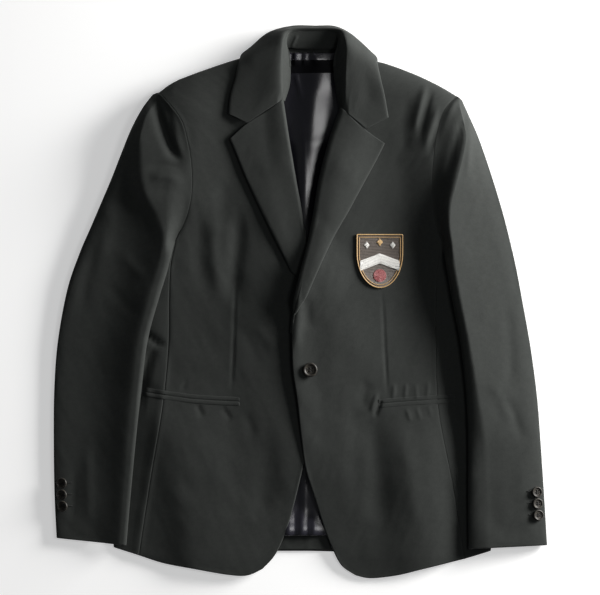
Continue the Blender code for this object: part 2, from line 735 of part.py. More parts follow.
def build_sleeves(cloth, collection):
    """Two-piece sleeves lying over the body's sides and the floor beside them."""
    for side in (-1, 1):
        lines = sleeve_lines(side)
        top_grid = []
        under_grid = []
        for row in range(len(lines["edge"])):
            outer = np.array((lines["outer_x"][row], lines["outer_y"][row]))
            inner = np.array((lines["inner_x"][row], lines["inner_y"][row]))
            under = np.array((lines["under_x"][row], lines["under_y"][row]))
            edge = lines["edge"][row]
            on_armhole = row >= SLEEVE_LOWER_STATIONS - 1
            if on_armhole:
                inner_z = float(front_top(side, inner[0], inner[1]))
            else:
                inner_z = float(body_top(inner[0], inner[1])) + SLEEVE_BODY_GAP + SLEEVE_FOLD_HALF
            half = SLEEVE_SEAM_GAP / 2
            inner_half = 0.0 if on_armhole else half
            top_grid.append(top_section(outer, inner, edge + half, inner_z + inner_half,
                                        lines["shelf"][row], lines["crest"][row]))
            under_z = inner_z - half
            if on_armhole:
                behind = row - SLEEVE_LOWER_STATIONS + 1
                start_z = UNDERARM_SHARE * float(body_top(under[0], under[1]))
                floor_z = float(back_under(under[0], under[1]))
                drop = soft_step((behind - 1.6) / 1.6)
                under_z = start_z + (floor_z - start_z) * float(drop)
            under_grid.append(under_section(side, outer, under, edge - half, under_z))
        word = SIDE_NAMES[side]
        sheet("top_sleeve_" + word, np.array(top_grid), SLEEVE_WALL, cloth, collection,
              (0, 0, 1))
        sheet("under_sleeve_" + word, np.array(under_grid), SLEEVE_WALL, cloth, collection,
              (0, 0, -1))


def top_section(outer, inner, edge, inner_z, shelf, crest):
    """One section of a top sleeve from the outer fold over the crest to the inner side."""
    width = float(np.linalg.norm(inner - outer))
    distances = sleeve_columns(width, SLEEVE_EDGE_REACH, SLEEVE_EDGE_REACH)
    points = []
    for distance in distances:
        part = distance / width
        x, y = outer + (inner - outer) * part
        blend = float(risen(part, SLEEVE_BLEND_FROM))
        plateau = shelf + (crest - shelf) * blend
        floor = edge + (inner_z - edge) * blend
        share = float(pillow(distance, min(SLEEVE_EDGE_REACH, 0.45 * width)))
        share *= float(pillow(width - distance, min(SLEEVE_EDGE_REACH, 0.45 * width)))
        z = floor + (plateau - floor) * share + share * float(folds(SLEEVE_FOLDS, x, y))
        points.append((x, y, z))
    return points


def under_section(side, outer, inner, edge, inner_z):
    """One section of an under sleeve, down to the floor and up over the body's side."""
    width = float(np.linalg.norm(inner - outer))
    distances = sleeve_columns(width, SLEEVE_UNDER_REACH, SLEEVE_UNDER_REACH)
    points = []
    for distance in distances:
        part = distance / width
        x, y = outer + (inner - outer) * part
        rest = float(sleeve_rest(side, x, y))
        start = float(pillow(distance, min(SLEEVE_UNDER_REACH, 0.45 * width)))
        end = float(pillow(width - distance, min(SLEEVE_UNDER_REACH, 0.45 * width)))
        z = rest + (edge - rest) * (1 - start) + (inner_z - rest) * (1 - end)
        points.append((x, y, z))
    return points


# --- collar ---

def build_collar(cloth, collection):
    """The leaf, folded over at the roll, and the stand that shows inside the neck."""
    places = np.linspace(0, len(LEAF_ROWS) - 1, (len(LEAF_ROWS) - 1) * COLLAR_STEPS + 1)
    lines = [spline(LEAF[name], places) for name in LEAF_COLUMNS]
    cross = np.linspace(0, len(LEAF_COLUMNS) - 1, 9)
    grid = np.array([spline([line[row] for line in lines], cross)
                     for row in range(len(places))])
    sheet("collar_leaf", grid, COLLAR_WALL, cloth, collection, (0, 0, 1))
    last = STAND_FIRST_ROW + len(STAND_SEAM) - 1
    kept = (places >= STAND_FIRST_ROW) & (places <= last)
    start = lines[0][kept]
    seam = spline(STAND_SEAM, places[kept] - STAND_FIRST_ROW)
    share = np.linspace(0, 1, 4)[None, :, None]
    stand = start[:, None] + (seam - start)[:, None] * share
    sheet("collar_stand", stand, STAND_WALL, cloth, collection, (0, 0, 1), ROLL_GAP)


# --- lining, hem, label ---

def build_lining(satin, cloth, label, collection):
    """Back lining, the cloth turned up inside the back hem, and the blank neck label."""
    rows = np.linspace(LINING["y"][0], LINING["y"][-1], 15)
    right = np.interp(rows, LINING["y"], LINING["right_x"])
    left = np.interp(rows, LINING["y"], LINING["left_x"])
    share = np.linspace(0, 1, 11)[None, :]
    x = right[:, None] + (left - right)[:, None] * share
    y = np.broadcast_to(rows[:, None], x.shape)
    z = back_under(x, y) + SHELL_WALL + LINING_LIFT + LINING_WALL
    z = z + LINING_NECK_LIFT * risen(y, LINING_LIFT_FROM)
    grid = np.stack((x, y, z), axis=-1)
    sheet("lining_back", grid, LINING_WALL, satin, collection, (0, 0, 1))
    strip_x = np.linspace(LINING["right_x"][0], LINING["left_x"][0], 9)
    strip = np.array([[(x, y, SHELL_WALL + LINING_LIFT + LINING_WALL) for x in strip_x]
                      for y in HEM_STRIP])
    sheet("back_facing", strip, LINING_WALL, cloth, collection, (0, 0, 1))
    width, height = LABEL_SIZE
    across = np.linspace(-width / 2, width / 2, 5)
    down = np.linspace(-height / 2, height / 2, 3)
    grid = []
    for step in down:
        line = []
        for place in across:
            x = LABEL_PLACE[0] + place
            y = LABEL_PLACE[1] + step
            ground = float(back_under(x, y)) + SHELL_WALL + LINING_LIFT + LINING_WALL
            line.append((x, y, ground + LINING_NECK_LIFT + LABEL_LIFT))
        grid.append(line)
    sheet("neck_label", np.array(grid), LABEL_WALL, label, collection, (0, 0, 1))


# --- pockets and badge ---

def build_jets(cloth, collection):
    """Double jets of the two pockets, laid on the fronts."""
    for side in (-1, 1):
        line = stations(JETS[side], 12)
        for word, offset in (("upper", JET_SPACING / 2), ("lower", -JET_SPACING / 2)):
            grid = []
            for across in (-JET_WIDTH / 2, 0.0, JET_WIDTH / 2):
                crown = JET_CROWN * (1 - (2 * across / JET_WIDTH) ** 2)
                rise = LAYER_GAP + JET_WALL + crown
                grid.append([(x, y + offset + across,
                              float(front_top(side, x, y + offset + across)) + rise)
                             for x, y in line])
            sheet("jet_" + word + "_" + SIDE_NAMES[side], np.array(grid), JET_WALL, cloth,
                  collection, (0, 0, 1))


def shield_outline(across, down, scale=1.0):
    """Point of a plain shield: across from -1 to 1, down from 0 at the top to 1 at the tip."""
    width, height = BADGE_SIZE
    below = max(down - BADGE_STRAIGHT, 0.0) / (1.0 - BADGE_STRAIGHT)
    taper = max(math.sqrt(max(1.0 - below ** 2, 0.0)), BADGE_TIP)
    x = BADGE_CENTRE[0] + scale * across * (width / 2) * taper
    y = BADGE_CENTRE[1] + scale * height * (0.5 - down)
    return x, y


def badge_height(x, y):
    """Height of the front under the badge."""
    return float(front_top(1, x, y))


def build_badge(ground, border, band, collection):
    """A plain cloth shield with a raised cord round it and one chevron across it."""
    lift = LAYER_GAP + BADGE_WALL
    grid = []
    for down in np.linspace(0, 1, 9):
        line = []
        for across in np.linspace(-1, 1, 7):
            x, y = shield_outline(across, down)
            line.append((x, y, badge_height(x, y) + lift))
        grid.append(line)
    sheet("badge_ground", np.array(grid), BADGE_WALL, ground, collection, (0, 0, 1))
    build_badge_cord(border, collection, lift)
    grid = []
    for step in (-BAND_HALF, BAND_HALF):
        line = []
        for across in np.linspace(-BAND_REACH, BAND_REACH, 9):
            x, y = shield_outline(across, BAND_DOWN)
            y = y + step - BAND_DROP * abs(across)
            line.append((x, y, badge_height(x, y) + lift + BADGE_LAYER_GAP + BAND_WALL))
        grid.append(line)
    sheet("badge_band", np.array(grid), BAND_WALL, band, collection, (0, 0, 1))


def build_badge_cord(material, collection, lift):
    """The corded edge of the badge."""
    downs = np.linspace(0, 1, 15)
    right = [shield_outline(1.0, down, BADGE_CORD_SCALE) for down in downs]
    left = [shield_outline(-1.0, down, BADGE_CORD_SCALE) for down in downs[::-1]]
    top = [shield_outline(across, 0.0, BADGE_CORD_SCALE)
           for across in np.linspace(-1, 1, 7)[1:-1]]
    loop = right + left + top
    curve = bpy.data.curves.new("badge_border", "CURVE")
    curve.dimensions = "3D"
    curve.bevel_depth = BADGE_CORD / 2 * MM
    curve.bevel_resolution = 1
    line = curve.splines.new("POLY")
    line.points.add(len(loop) - 1)
    line.use_cyclic_u = True
    for place, (x, y) in enumerate(loop):
        z = badge_height(x, y) + lift + BADGE_LAYER_GAP + BADGE_CORD / 2
        line.points[place].co = (*world((x, y, z)), 1.0)
    curve.materials.append(material)
    collection.objects.link(bpy.data.objects.new("badge_border", curve))


# --- buttons ---

def build_button(name, place, diameter, material, collection):
    """A dished button turned from its profile."""
    mesh = bpy.data.meshes.new(name)
    profile = bmesh.new()
    radius = diameter / 2
    points = [profile.verts.new((share * radius * MM, 0.0, height * BUTTON_THICKNESS * MM))
              for share, height in BUTTON_PROFILE]
    for first, second in zip(points, points[1:]):
        profile.edges.new((first, second))
    profile.to_mesh(mesh)
    profile.free()
    button = keep(name, mesh, material, collection)
    button.location = world(place)
    turn = button.modifiers.new("turn", "SCREW")
    turn.steps = 14
    turn.render_steps = 14
    turn.use_merge_vertices = True
    turn.merge_threshold = 0.00005
    turn.use_normal_calculate = True
    return button


def sleeve_top_height(side, x, y):
    """Height of a top sleeve's outer face near the cuff."""
    sleeve = SLEEVES[side]
    at = [np.interp(y, sleeve["outer_y"], sleeve[name]) for name in SLEEVE_COLUMNS]
    outer = np.array(at[0:2])
    inner = np.array(at[2:4])
    resting = float(body_top(inner[0], inner[1])) + SLEEVE_BODY_GAP + SLEEVE_FOLD_HALF
    section = np.array(top_section(outer, inner, at[6], resting, at[7], at[8]))
    order = np.argsort(section[:, 0])
    return float(np.interp(x, section[order, 0], section[order, 2]))


def build_buttons(horn, collection):
    x, y = FRONT_BUTTON_PLACE
    reach = FRONT_BUTTON_DIAMETER / 2
    ground = max(float(front_top(1, x + dx, y + dy))
                 for dx in (-reach, 0.0, reach) for dy in (-reach, 0.0, reach))
    build_button("front_button", (x, y, ground + LAYER_GAP), FRONT_BUTTON_DIAMETER, horn,
                 collection)
    for side in (-1, 1):
        for number, (x, y) in enumerate(CUFF_BUTTONS[side], 1):
            name = "cuff_button_" + SIDE_NAMES[side] + "_" + str(number)
            height = sleeve_top_height(side, x, y) + CUFF_BUTTON_GAP
            button = build_button(name, (x, y, height), CUFF_BUTTON_DIAMETER, horn, collection)
            button.rotation_euler = (0.0, side * CUFF_BUTTON_TILT, 0.0)


def clear_scene():
    for old in list(bpy.data.objects):
        bpy.data.objects.remove(old, do_unlink=True)


def build():
    clear_scene()
    collection = bpy.data.collections.new("tailored_jacket")
    bpy.context.scene.collection.children.link(collection)
    cloth = finish("jacket_cloth", (0.032, 0.035, 0.032), 0.85)
    satin = finish("lining_satin", (0.035, 0.034, 0.055), 0.35)
    label = finish("label_satin", (0.02, 0.02, 0.03), 0.4)
    horn = finish("button_horn", (0.03, 0.022, 0.014), 0.3)
    ground = finish("badge_cloth", (0.12, 0.03, 0.035), 0.8)
    border = finish("badge_thread", (0.62, 0.42, 0.16), 0.55)
    band = finish("badge_band_thread", (0.6, 0.6, 0.58), 0.7)
    build_backs(cloth, collection)
    build_sides(cloth, collection)
    build_fronts(cloth, collection)
    build_lapels(cloth, collection)
    build_sleeves(cloth, collection)
    build_collar(cloth, collection)
    build_lining(satin, cloth, label, collection)
    build_jets(cloth, collection)
    build_badge(ground, border, band, collection)
    build_buttons(horn, collection)


build()
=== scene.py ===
"""Looks of the laid jacket: fine cloth panels with their folds, satin lining, trim and buttons.

Sizes in the tables are millimetres in the same plan as the CAD. +X is the wearer's left, +Y
runs to the collar and +Z is up, so the right side of the jacket is at -X.
"""

import math

import bmesh
import bpy
import numpy as np
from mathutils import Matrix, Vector

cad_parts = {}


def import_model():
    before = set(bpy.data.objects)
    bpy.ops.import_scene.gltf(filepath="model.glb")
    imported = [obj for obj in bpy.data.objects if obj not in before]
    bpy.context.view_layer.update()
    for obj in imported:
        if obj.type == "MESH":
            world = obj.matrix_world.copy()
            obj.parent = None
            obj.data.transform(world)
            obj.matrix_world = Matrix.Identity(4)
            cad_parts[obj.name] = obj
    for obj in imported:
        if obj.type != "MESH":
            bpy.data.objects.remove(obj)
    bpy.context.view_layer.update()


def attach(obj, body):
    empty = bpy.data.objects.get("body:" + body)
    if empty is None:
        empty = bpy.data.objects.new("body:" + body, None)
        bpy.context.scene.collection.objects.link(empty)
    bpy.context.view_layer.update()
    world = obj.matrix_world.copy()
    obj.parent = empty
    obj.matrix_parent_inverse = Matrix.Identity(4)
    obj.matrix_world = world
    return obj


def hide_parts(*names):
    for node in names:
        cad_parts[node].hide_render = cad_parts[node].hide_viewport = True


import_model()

MM = 0.001
MIDDLE = (0.5, 0.5, 0.0)
UP = (0, 0, 1)
DOWN = (0, 0, -1)
SIDE_NAMES = {-1: "right", 1: "left"}

# Walls and the air between layers
SHELL_WALL = 1.4
FRONT_WALL = 2.4
SLEEVE_WALL = 1.6
COLLAR_WALL = 2.4
STAND_WALL = 2.0
LINING_WALL = 1.0
JET_WALL = 1.0
LABEL_WALL = 0.8
BADGE_WALL = 1.2
BADGE_BAND_WALL = 0.8
LAYER_GAP = 0.5

# Trim sizes across and along
LABEL_SIZE = (66.0, 18.0)
BADGE_SIZE = (64.0, 74.0)

# Panels: seed and size of their fine and broad unevenness, wall and material slot
PANELS = {
    "front": (20, 0.22, 0.42, FRONT_WALL, "jacket_cloth"),
    "lapel": (40, 0.1, 0.3, COLLAR_WALL, "jacket_cloth"),
    "side": (60, 0.22, 0.42, SHELL_WALL, "jacket_cloth"),
    "back": (80, 0.1, 0.2, SHELL_WALL, "jacket_cloth"),
    "top_sleeve": (100, 0.22, 0.42, SLEEVE_WALL, "jacket_cloth"),
    "under_sleeve": (120, 0.1, 0.2, SLEEVE_WALL, "jacket_cloth"),
    "collar_leaf": (140, 0.1, 0.3, COLLAR_WALL, "jacket_cloth"),
    "collar_stand": (150, 0.08, 0.15, STAND_WALL, "jacket_cloth"),
    "lining_back": (160, 0.1, 0.12, LINING_WALL, "lining_satin"),
    "back_facing": (170, 0.1, 0.2, LINING_WALL, "jacket_cloth"),
    "neck_label": (180, 0.12, 0.2, LABEL_WALL, "label_satin"),
    "jet_upper": (200, 0.05, 0.1, JET_WALL, "jacket_cloth"),
    "jet_lower": (200, 0.05, 0.1, JET_WALL, "jacket_cloth"),
    "badge_ground": (220, 0.1, 0.1, BADGE_WALL, "badge_cloth"),
    "badge_band": (230, 0.05, 0.05, BADGE_BAND_WALL, "badge_band_thread"),
}
# Lengths and point counts of their grids, along and across; where a row has one pair, the other
# direction is a section with points of its own
GRIDS = {
    "front": ((640.0, 262), (190.0, 92)),
    "lapel": ((260.0, 110),),
    "side": ((430.0, 118),),
    "back": ((690.0, 120), (190.0, 46)),
    "collar_leaf": ((480.0, 210), (95.0, 52)),
    "lining_back": ((670.0, 210), (360.0, 96)),
    "back_facing": ((19.0, 10), (410.0, 120)),
    "neck_label": ((LABEL_SIZE[1], 20), (LABEL_SIZE[0], 60)),
    "jet": ((130.0, 84),),
    "badge_ground": ((BADGE_SIZE[1], 70), (BADGE_SIZE[0], 60)),
}
SIDE_FLAT_GRID = (20.0, 8)
SLEEVE_GRID = (420.0, 150)

# How a free edge rolls over and how a seam sinks: depth and reach
EDGE_ROLL = (1.1, 1.7)
SEAM_SINK = (0.85, 3.2)
GORGE_SINK = (0.35, 1.6)
PANEL_SINK = (0.5, 3.2)
SHOULDER_SINK = 0.4
ARMHOLE_SINK = 0.2
STAND_ROLL = (0.8, 2.4)
BACK_SEAM_SINK = (0.7, 3.0)
SLEEVE_SEAM_SINK = (0.3, 2.0)
LINING_HEM_ROLL = (1.2, 3.0)
LINING_NECK_SINK = (0.6, 2.0)
LABEL_EDGE = (0.5, 0.8)
JET_EDGE = (0.9, 1.6)
BADGE_EDGE = (0.7, 1.2)
SOFT_ROLL = (1.3, 4.2)
NO_ROLL = (0.0, 1.0)
RIM_STEPS = (0.4, 0.9, 1.5, 2.3, 3.3)
RIM_WEAR = 4.0

# Unevenness of laid cloth: sizes of the lumps, and the border that stays even
LUMP_SIZES = (19.0, 52.0, 9.0)
LUMP_BORDER = 6.0
LUMP_LATTICE = 97
LUMP_SHIFT = 40.0

# Folds: how far one acts in half widths, the share of its length over which it fades at each
# end, and the border of the body inside which they grow
FOLD_REACH = 3.2
FOLD_FADE = 0.3
FOLD_BORDER = 14.0

# Where a rule starts to act and the length over which it grows
BACK_HEM_SLANT = 11.0
BACK_HEM_SLANT_FROM = (-240.0, 100.0)
BACK_HEM_BOW = 2.0
BACK_UNDERARM_RISE = 6.0
BACK_NECK_Y = 350.0
BACK_NECK_SHARE = 0.62
SHOULDER_SLOPE = 0.7
NECK_OPENING = (-76.0, 101.0)
NECK_FADE = 40.0
NECK_LIFT_FROM = (300.0, 38.0)
NECK_LIFT_SIDES = (-96.0, 121.0)
NECK_LIFT_FADE = 30.0
LINING_LIFT_FROM = (250.0, 50.0)
UNDERLAP_FROM = (-270.0, 150.0)
OVERLAP_FROM = (-270.0, 170.0)
OVERLAP_UNTIL = (250.0, 60.0)
SLEEVE_CLIMB_FROM = (36.0, 34.0)
SLEEVE_CLIMB_UNTIL = (92.0, 26.0)
FLOOR_FOLD_DEPTH = 9.0
LAPEL_FALL = {-1: 30.0, 1: 62.0}
LAPEL_LIFT = {-1: 2.0, 1: 2.6}
LAPEL_END = (0.05, 0.13)
LAPEL_END_SINK = 2.4
LAPEL_END_BEND = 0.1
LAPEL_END_WIDTH = 0.6
LAPEL_END_LIFT = 0.15
LAPEL_LEAST_WIDTH = 3.6
LAPEL_SWELL_WIDTH = 40.0
EDGE_ROLL_END = (0.645, 0.06)
LEAF_END_REACH = 24.0
ROLL_SPREAD = {-1: 1.0, 1: 1.9}

# Layers of the body, the pleat of the lining above the hem, and the left front over the right
LINING_LIFT = 0.4
LINING_NECK_LIFT = 1.8
HEM_PLEAT_Y = -316.0
HEM_PLEAT_HALF = 12.0
HEM_PLEAT_RISE = 3.2
SHOULDER_MID = 15.5
BACK_SHOULDER_MID = 11.0
SIDE_MID_SHARE = 0.45
SIDE_REACH = 58.0
SIDE_LEAST_FLAT = 2.0
SHOULDER_REACH = 45.0
BACK_SHOULDER_REACH = 30.0
NECK_LIFT = 3.4
BACK_SEAM_INSET = 48.0
OVERLAP_SINK = 4.2
OVERLAP_LIFT = 3.0
OVERLAP_REACH = {-1: 70.0, 1: 36.0}
CROSSING = (12.0, 36.0)
CROSSING_REACH = 52.0
CROSSING_LIFT = 4.8
CROSSING_FLAT = 0.3

# Sleeves
SLEEVE_EDGE_REACH = {-1: 15.0, 1: 22.0}
SLEEVE_UNDER_REACH = 10.0
SLEEVE_BODY_GAP = 1.8
SLEEVE_FOLD_HALF = 3.4
UNDERARM_SHARE = 0.85
SLEEVE_SEAM_HALF = 0.15
ARMHOLE_ROW = 7
ARMHOLE_BLEND_FROM = (6.2, 0.8)
UNDERARM_DROP_FROM = (1.6, 1.6)
SLEEVE_RAMP_POWER = {-1: 2.1, 1: 1.0}
SLEEVE_RAMP_LEAN = {-1: 0.16, 1: 0.0}
SLEEVE_LAYERS = 3.9
SLEEVE_ROUNDING = 6
SLEEVE_TURN_POINTS = 13
SOFTENED_BORDER = 5.0
SLEEVE_EDGE_SHARE = 0.2
SLEEVE_ROLL_SHARE = 0.72
SLEEVE_UNDER_SHARE = 0.45

# Buttons, their eyes and thread, and the worked bars beside the cuff's
FRONT_BUTTON_DIAMETER = 20.0
CUFF_BUTTON_DIAMETER = 15.0
BUTTON_THICKNESS = 3.6
DISH_REACH = 0.46
DISH_POINTS = 20
EYE_PLACE = 0.2
EYE_SIZE = 0.055
EYE_DEPTH = 1.3
EYE_SOFTNESS = 0.35
THREAD_RADIUS = 0.34
THREAD_APART = 0.32
THREAD_SINK = 1.1
THREAD_ARCH = 1.5
FRONT_BUTTON_FOOT = 9
NEAREST_POINTS = 6
BAR_SPAN = (7.0, 13.5)
BAR_SHIFT = 1.0
BAR_LIFT = 0.3
BAR_RADIUS = 0.55
FRONT_BUTTON_PLACE = (14.0, -93.0)
CUFF_BUTTON_GAP = 1.2
CUFF_BUTTON_TILT = math.radians(17.0)

# Pocket jets, label and badge
JET_SPACING = 6.6
JET_HALF = 2.75
JET_CROWN = 0.4
JET_RISE = 0.2
LABEL_PLACE = (16.0, 326.0)
LABEL_LIFT = 1.2
LABEL_WAVE = 0.4
LABEL_WAVE_LENGTH = 15.0
BADGE_CENTRE = (110.0, 57.0)
BADGE_CORD = 1.6
BADGE_STRAIGHT = 0.35
BADGE_LAYER_GAP = 0.15
BADGE_BAND_HALF = 7.0
BADGE_BAND_DOWN = 0.45
BADGE_BAND_REACH = 0.86
BADGE_BAND_POINT = 12.0
BADGE_BAND_CROWN = 0.9
BADGE_BAND_LIFT = 0.5
BADGE_TIP = 0.06
BADGE_LIFT = LAYER_GAP + BADGE_WALL
BADGE_FACE = BADGE_LIFT + BADGE_LAYER_GAP
BADGE_CORD_SCALE = 0.985
CORD_SHOWING = 0.6
MOTIF_CROWN = 0.8
MOTIF_LIFT = 0.1
BADGE_INNER_CORD = 0.9
BADGE_INNER_SCALE = 0.9

# Where the outlines of a front meet: the side seam and the front edge end at the same share of
# its length, and the shoulder ends at this share of its width, as on the back at the last one.
FRONT_LENGTH_SPLIT = 11 / 18
FRONT_WIDTH_SPLIT = 8 / 11
BACK_WIDTH_SPLIT = 5 / 8

CENTRE_BACK = ((11.0, -344.0), (19.0, 349.0))

# Thickness of the laid body from hem to shoulder
BODY_COLUMNS = ("y", "height")
BODY_ROWS = (
    (-384, 3.6),
    (-352, 6.2),
    (-300, 9.0),
    (-240, 11.0),
    (-130, 13.0),
    (0, 15.0),
    (90, 18.0),
    (170, 22.0),
    (240, 26.0),
    (300, 27.0),
    (350, 27.0),
)

# The body's side folds and the front side seams, hem to underarm
SIDE_COLUMNS = ("right_y", "right_fold", "right_seam", "left_y", "left_fold", "left_seam")
SIDE_ROWS = (
    (-345, -258, -223, -350, 264, 228),
    (-245, -252, -207, -255, 257, 212),
    (-143, -243, -190, -150, 248, 192),
    (-60, -238, -182, -60, 243, 188),
    (3, -239, -181, 3, 246, 188),
    (50, -240, -179, 48, 248, 190),
    (84, -241, -172, 81, 250, 195),
)

# Shoulder seams, shoulder tip to neck, and the necklines that go on from them
SHOULDERS = {
    -1: ((-195, 290), (-175, 304), (-149, 315), (-121, 325), (-94, 334), (-76, 339)),
    1: ((216, 285), (196, 297), (168, 311), (141, 322), (118, 330), (101, 334)),
}
NECKLINES = {
    -1: ((-76, 339), (-56, 334), (-43, 316), (-37, 298)),
    1: ((101, 334), (90, 326), (78, 308), (71, 288)),
}

# Front hems, side seam to the rounded corner, and front edges, corner to break
HEMS = {
    -1: ((-223, -350), (-189, -361), (-146, -369), (-100, -377), (-73, -378), (-52, -369)),
    1: ((228, -355), (200, -362), (167, -370), (134, -378), (98, -382), (77, -378)),
}
EDGES = {
    -1: ((-52, -369), (-37, -353), (-26, -333), (-14, -300), (1, -241), (17, -169), (28, -128),
         (37, -93), (40, -59), (37, -28)),
    1: ((77, -378), (58, -365), (46, -344), (34, -314), (21, -273), (8, -231), (2, -190),
        (-4, -135), (-10, -93), (-12, -52)),
}

# Lapels from break to gorge: roll line, outer edge and radius of the roll
LAPEL_COLUMNS = ("roll_x", "roll_y", "edge_x", "edge_y", "bend")
LAPEL_ROWS = {-1: (
    (25, 16, 3, 9, 2.8),
    (17, 48, -11, 40, 3.2),
    (9, 90, -33, 83, 4.2),
    (1, 135, -54, 126, 4.4),
    (-7, 180, -74, 169, 4.6),
    (-15, 228, -89, 206, 4.8),
    (-23, 280, -97, 225, 5.0),
), 1: (
    (-12, -42, -4, -43, 3.2),
    (-8, -5, 6, -2, 3.4),
    (3, 42, 27, 48, 3.8),
    (14, 84, 47, 90, 4.2),
    (22, 125, 66, 123, 4.4),
    (30, 170, 85, 158, 4.6),
    (43, 220, 105, 195, 4.8),
    (59, 266, 117, 219, 5.0),
)}

# Gorge and notch of each lapel, from the roll line to the lapel's point
GORGES = {-1: ((-50, 261), (-75, 245)), 1: ((78, 248), (94, 235))}

# Sleeve sections from cuff to shoulder tip: outer fold, inner fold or armhole seam of the top
# sleeve, inner fold or armhole seam of the under sleeve, heights of the outer fold's middle, of
# the outer shelf and of the crest, the shares of the width between which the cloth climbs from
# shelf to crest, and the reach of the roll down from the crest to the body.
SLEEVE_COLUMNS = ("outer_x", "outer_y", "inner_x", "inner_y", "under_x", "under_y",
                  "edge", "shelf", "crest", "climb_from", "climb_to", "roll")
SLEEVE_ROWS = {-1: (
    (-337, -326, -240, -336, -240, -336, 6.0, 8.0, 15.5, 0.40, 0.88, 5.5),
    (-340, -262, -234, -266, -234, -266, 6.5, 8.5, 18.0, 0.36, 0.88, 5.5),
    (-341, -180, -226, -183, -226, -183, 7.0, 9.0, 20.5, 0.36, 0.87, 5.5),
    (-340, -115, -219, -120, -219, -120, 7.0, 9.0, 21.5, 0.38, 0.87, 6.0),
    (-335, -52, -210, -51, -210, -51, 8.0, 10.5, 24.5, 0.38, 0.87, 7.0),
    (-322, 18, -194, 8, -194, 8, 9.0, 12.0, 26.0, 0.40, 0.87, 7.5),
    (-305, 68, -181, 52, -181, 52, 10.0, 14.0, 27.5, 0.38, 0.88, 8.5),
    (-289, 105, -172, 86, -178, 96, 11.0, 15.5, 29.0, 0.32, 0.85, 13.5),
    (-280, 126, -160, 110, -206, 101, 11.5, 17.0, 30.0, 0.24, 0.69, 24.0),
    (-271, 147, -152, 135, -228, 111, 12.0, 17.0, 31.5, 0.16, 0.50, 32.0),
    (-260, 173, -149, 160, -206, 118, 13.0, 19.0, 31.0, 0.08, 0.36, 32.0),
    (-247, 206, -150, 190, -191, 160, 16.0, 22.0, 30.0, 0.02, 0.26, 30.0),
    (-233, 240, -155, 222, -187, 210, 18.0, 24.0, 28.5, 0.0, 0.18, 26.0),
    (-218, 268, -166, 255, -190, 252, 17.0, 22.0, 26.5, 0.0, 0.2, 16.0),
    (-204, 287, -195, 290, -195, 285, 12.0, 14.0, 20.0, 0.05, 0.60, 4.0),
), 1: (
    (342, -336, 233, -341, 233, -341, 6.0, 9.0, 16.0, 0.03, 0.76, 28.0),
    (338, -270, 232, -266, 232, -266, 6.5, 10.0, 19.0, 0.03, 0.76, 28.0),
    (333, -195, 232, -190, 232, -190, 7.0, 11.0, 22.5, 0.03, 0.78, 25.0),
    (328, -130, 229, -126, 229, -126, 6.0, 9.5, 26.5, 0.03, 0.84, 18.0),
    (319, -62, 222, -62, 222, -62, 7.0, 10.0, 30.0, 0.03, 0.87, 14.0),
    (308, 0, 212, -8, 212, -8, 8.0, 11.0, 32.5, 0.03, 0.88, 13.0),
    (299, 48, 203, 42, 203, 42, 9.0, 11.5, 34.5, 0.03, 0.88, 12.0),
    (290, 87, 195, 82, 201, 93, 9.0, 12.0, 36.0, 0.03, 0.86, 14.0),
    (283, 115, 187, 108, 222, 97, 9.5, 12.5, 36.5, 0.03, 0.81, 19.0),
    (275, 143, 182, 136, 241, 106, 10.0, 13.0, 36.5, 0.03, 0.73, 26.0),
    (266, 172, 182, 166, 221, 118, 10.0, 13.5, 36.0, 0.03, 0.60, 34.0),
    (256, 202, 184, 198, 207, 160, 10.5, 14.0, 33.5, 0.03, 0.46, 40.0),
    (245, 232, 188, 230, 202, 208, 11.0, 14.0, 29.5, 0.03, 0.30, 41.0),
    (233, 259, 198, 264, 206, 250, 12.0, 14.0, 25.0, 0.03, 0.30, 24.0),
    (224, 279, 216, 285, 216, 280, 12.0, 14.0, 20.0, 0.05, 0.50, 4.0),
)}

# Collar leaf sections, right gorge round the neck to left gorge. Each row holds five points
# (x, y, z): where the stand starts, the roll, the crest beside it, the middle and the edge.
LEAF_COLUMNS = ("start", "roll", "crest", "middle", "edge")
LEAF_ROWS = (
    ((-21, 277, 24), (-23, 279.5, 31), (-31, 274.6, 35.5), (-73, 247, 33.5), (-99, 260, 32.0)),
    ((-14, 300, 20), (-23, 301, 32), (-31, 300, 37.5), (-64, 289, 34), (-97, 283, 31)),
    ((-13, 325, 19), (-23, 326, 32), (-31, 326, 37), (-60, 320, 33.5), (-90, 308, 30)),
    ((-15, 345, 19), (-23, 348, 31), (-30, 350, 34), (-60, 343, 29), (-85, 331, 25)),
    ((-18, 356, 21), (-21, 362, 29), (-29, 364, 31), (-60, 357, 19), (-80, 345, 10)),
    ((-16, 370, 19), (-15, 374, 24), (-24, 375, 25), (-46, 372, 13), (-58, 348, 1)),
    ((-2, 374, 17), (-2, 377.5, 21), (-6, 380, 18.5), (-14, 380, 9.5), (-24, 348, 0)),
    ((20, 374, 16), (20, 377.5, 20), (20, 380, 18), (20, 380, 9), (20, 346, 0)),
    ((41, 374, 17), (41, 377.5, 21), (45, 380, 18.5), (51, 379, 9.5), (60, 347, 0)),
    ((51, 369, 19), (54, 373, 24), (62, 374, 25), (77, 366, 13), (88, 346, 1)),
    ((51, 354, 20), (59, 362, 29), (67, 361, 31), (91, 351, 19), (106, 340, 10)),
    ((48, 344, 18), (61, 348, 31), (68, 347, 34), (92, 337, 29), (108, 328, 25)),
    ((46, 325, 18), (61, 326, 32), (68, 325, 34), (93, 314, 33.4), (112, 306, 32.5)),
    ((48, 301, 19), (60, 301, 32), (68, 299, 34), (93, 283, 33.8), (117, 283, 33.5)),
    ((55, 262, 23), (59, 263.5, 31), (67, 259.3, 34), (91, 239, 32), (122, 255, 31.5)),
)

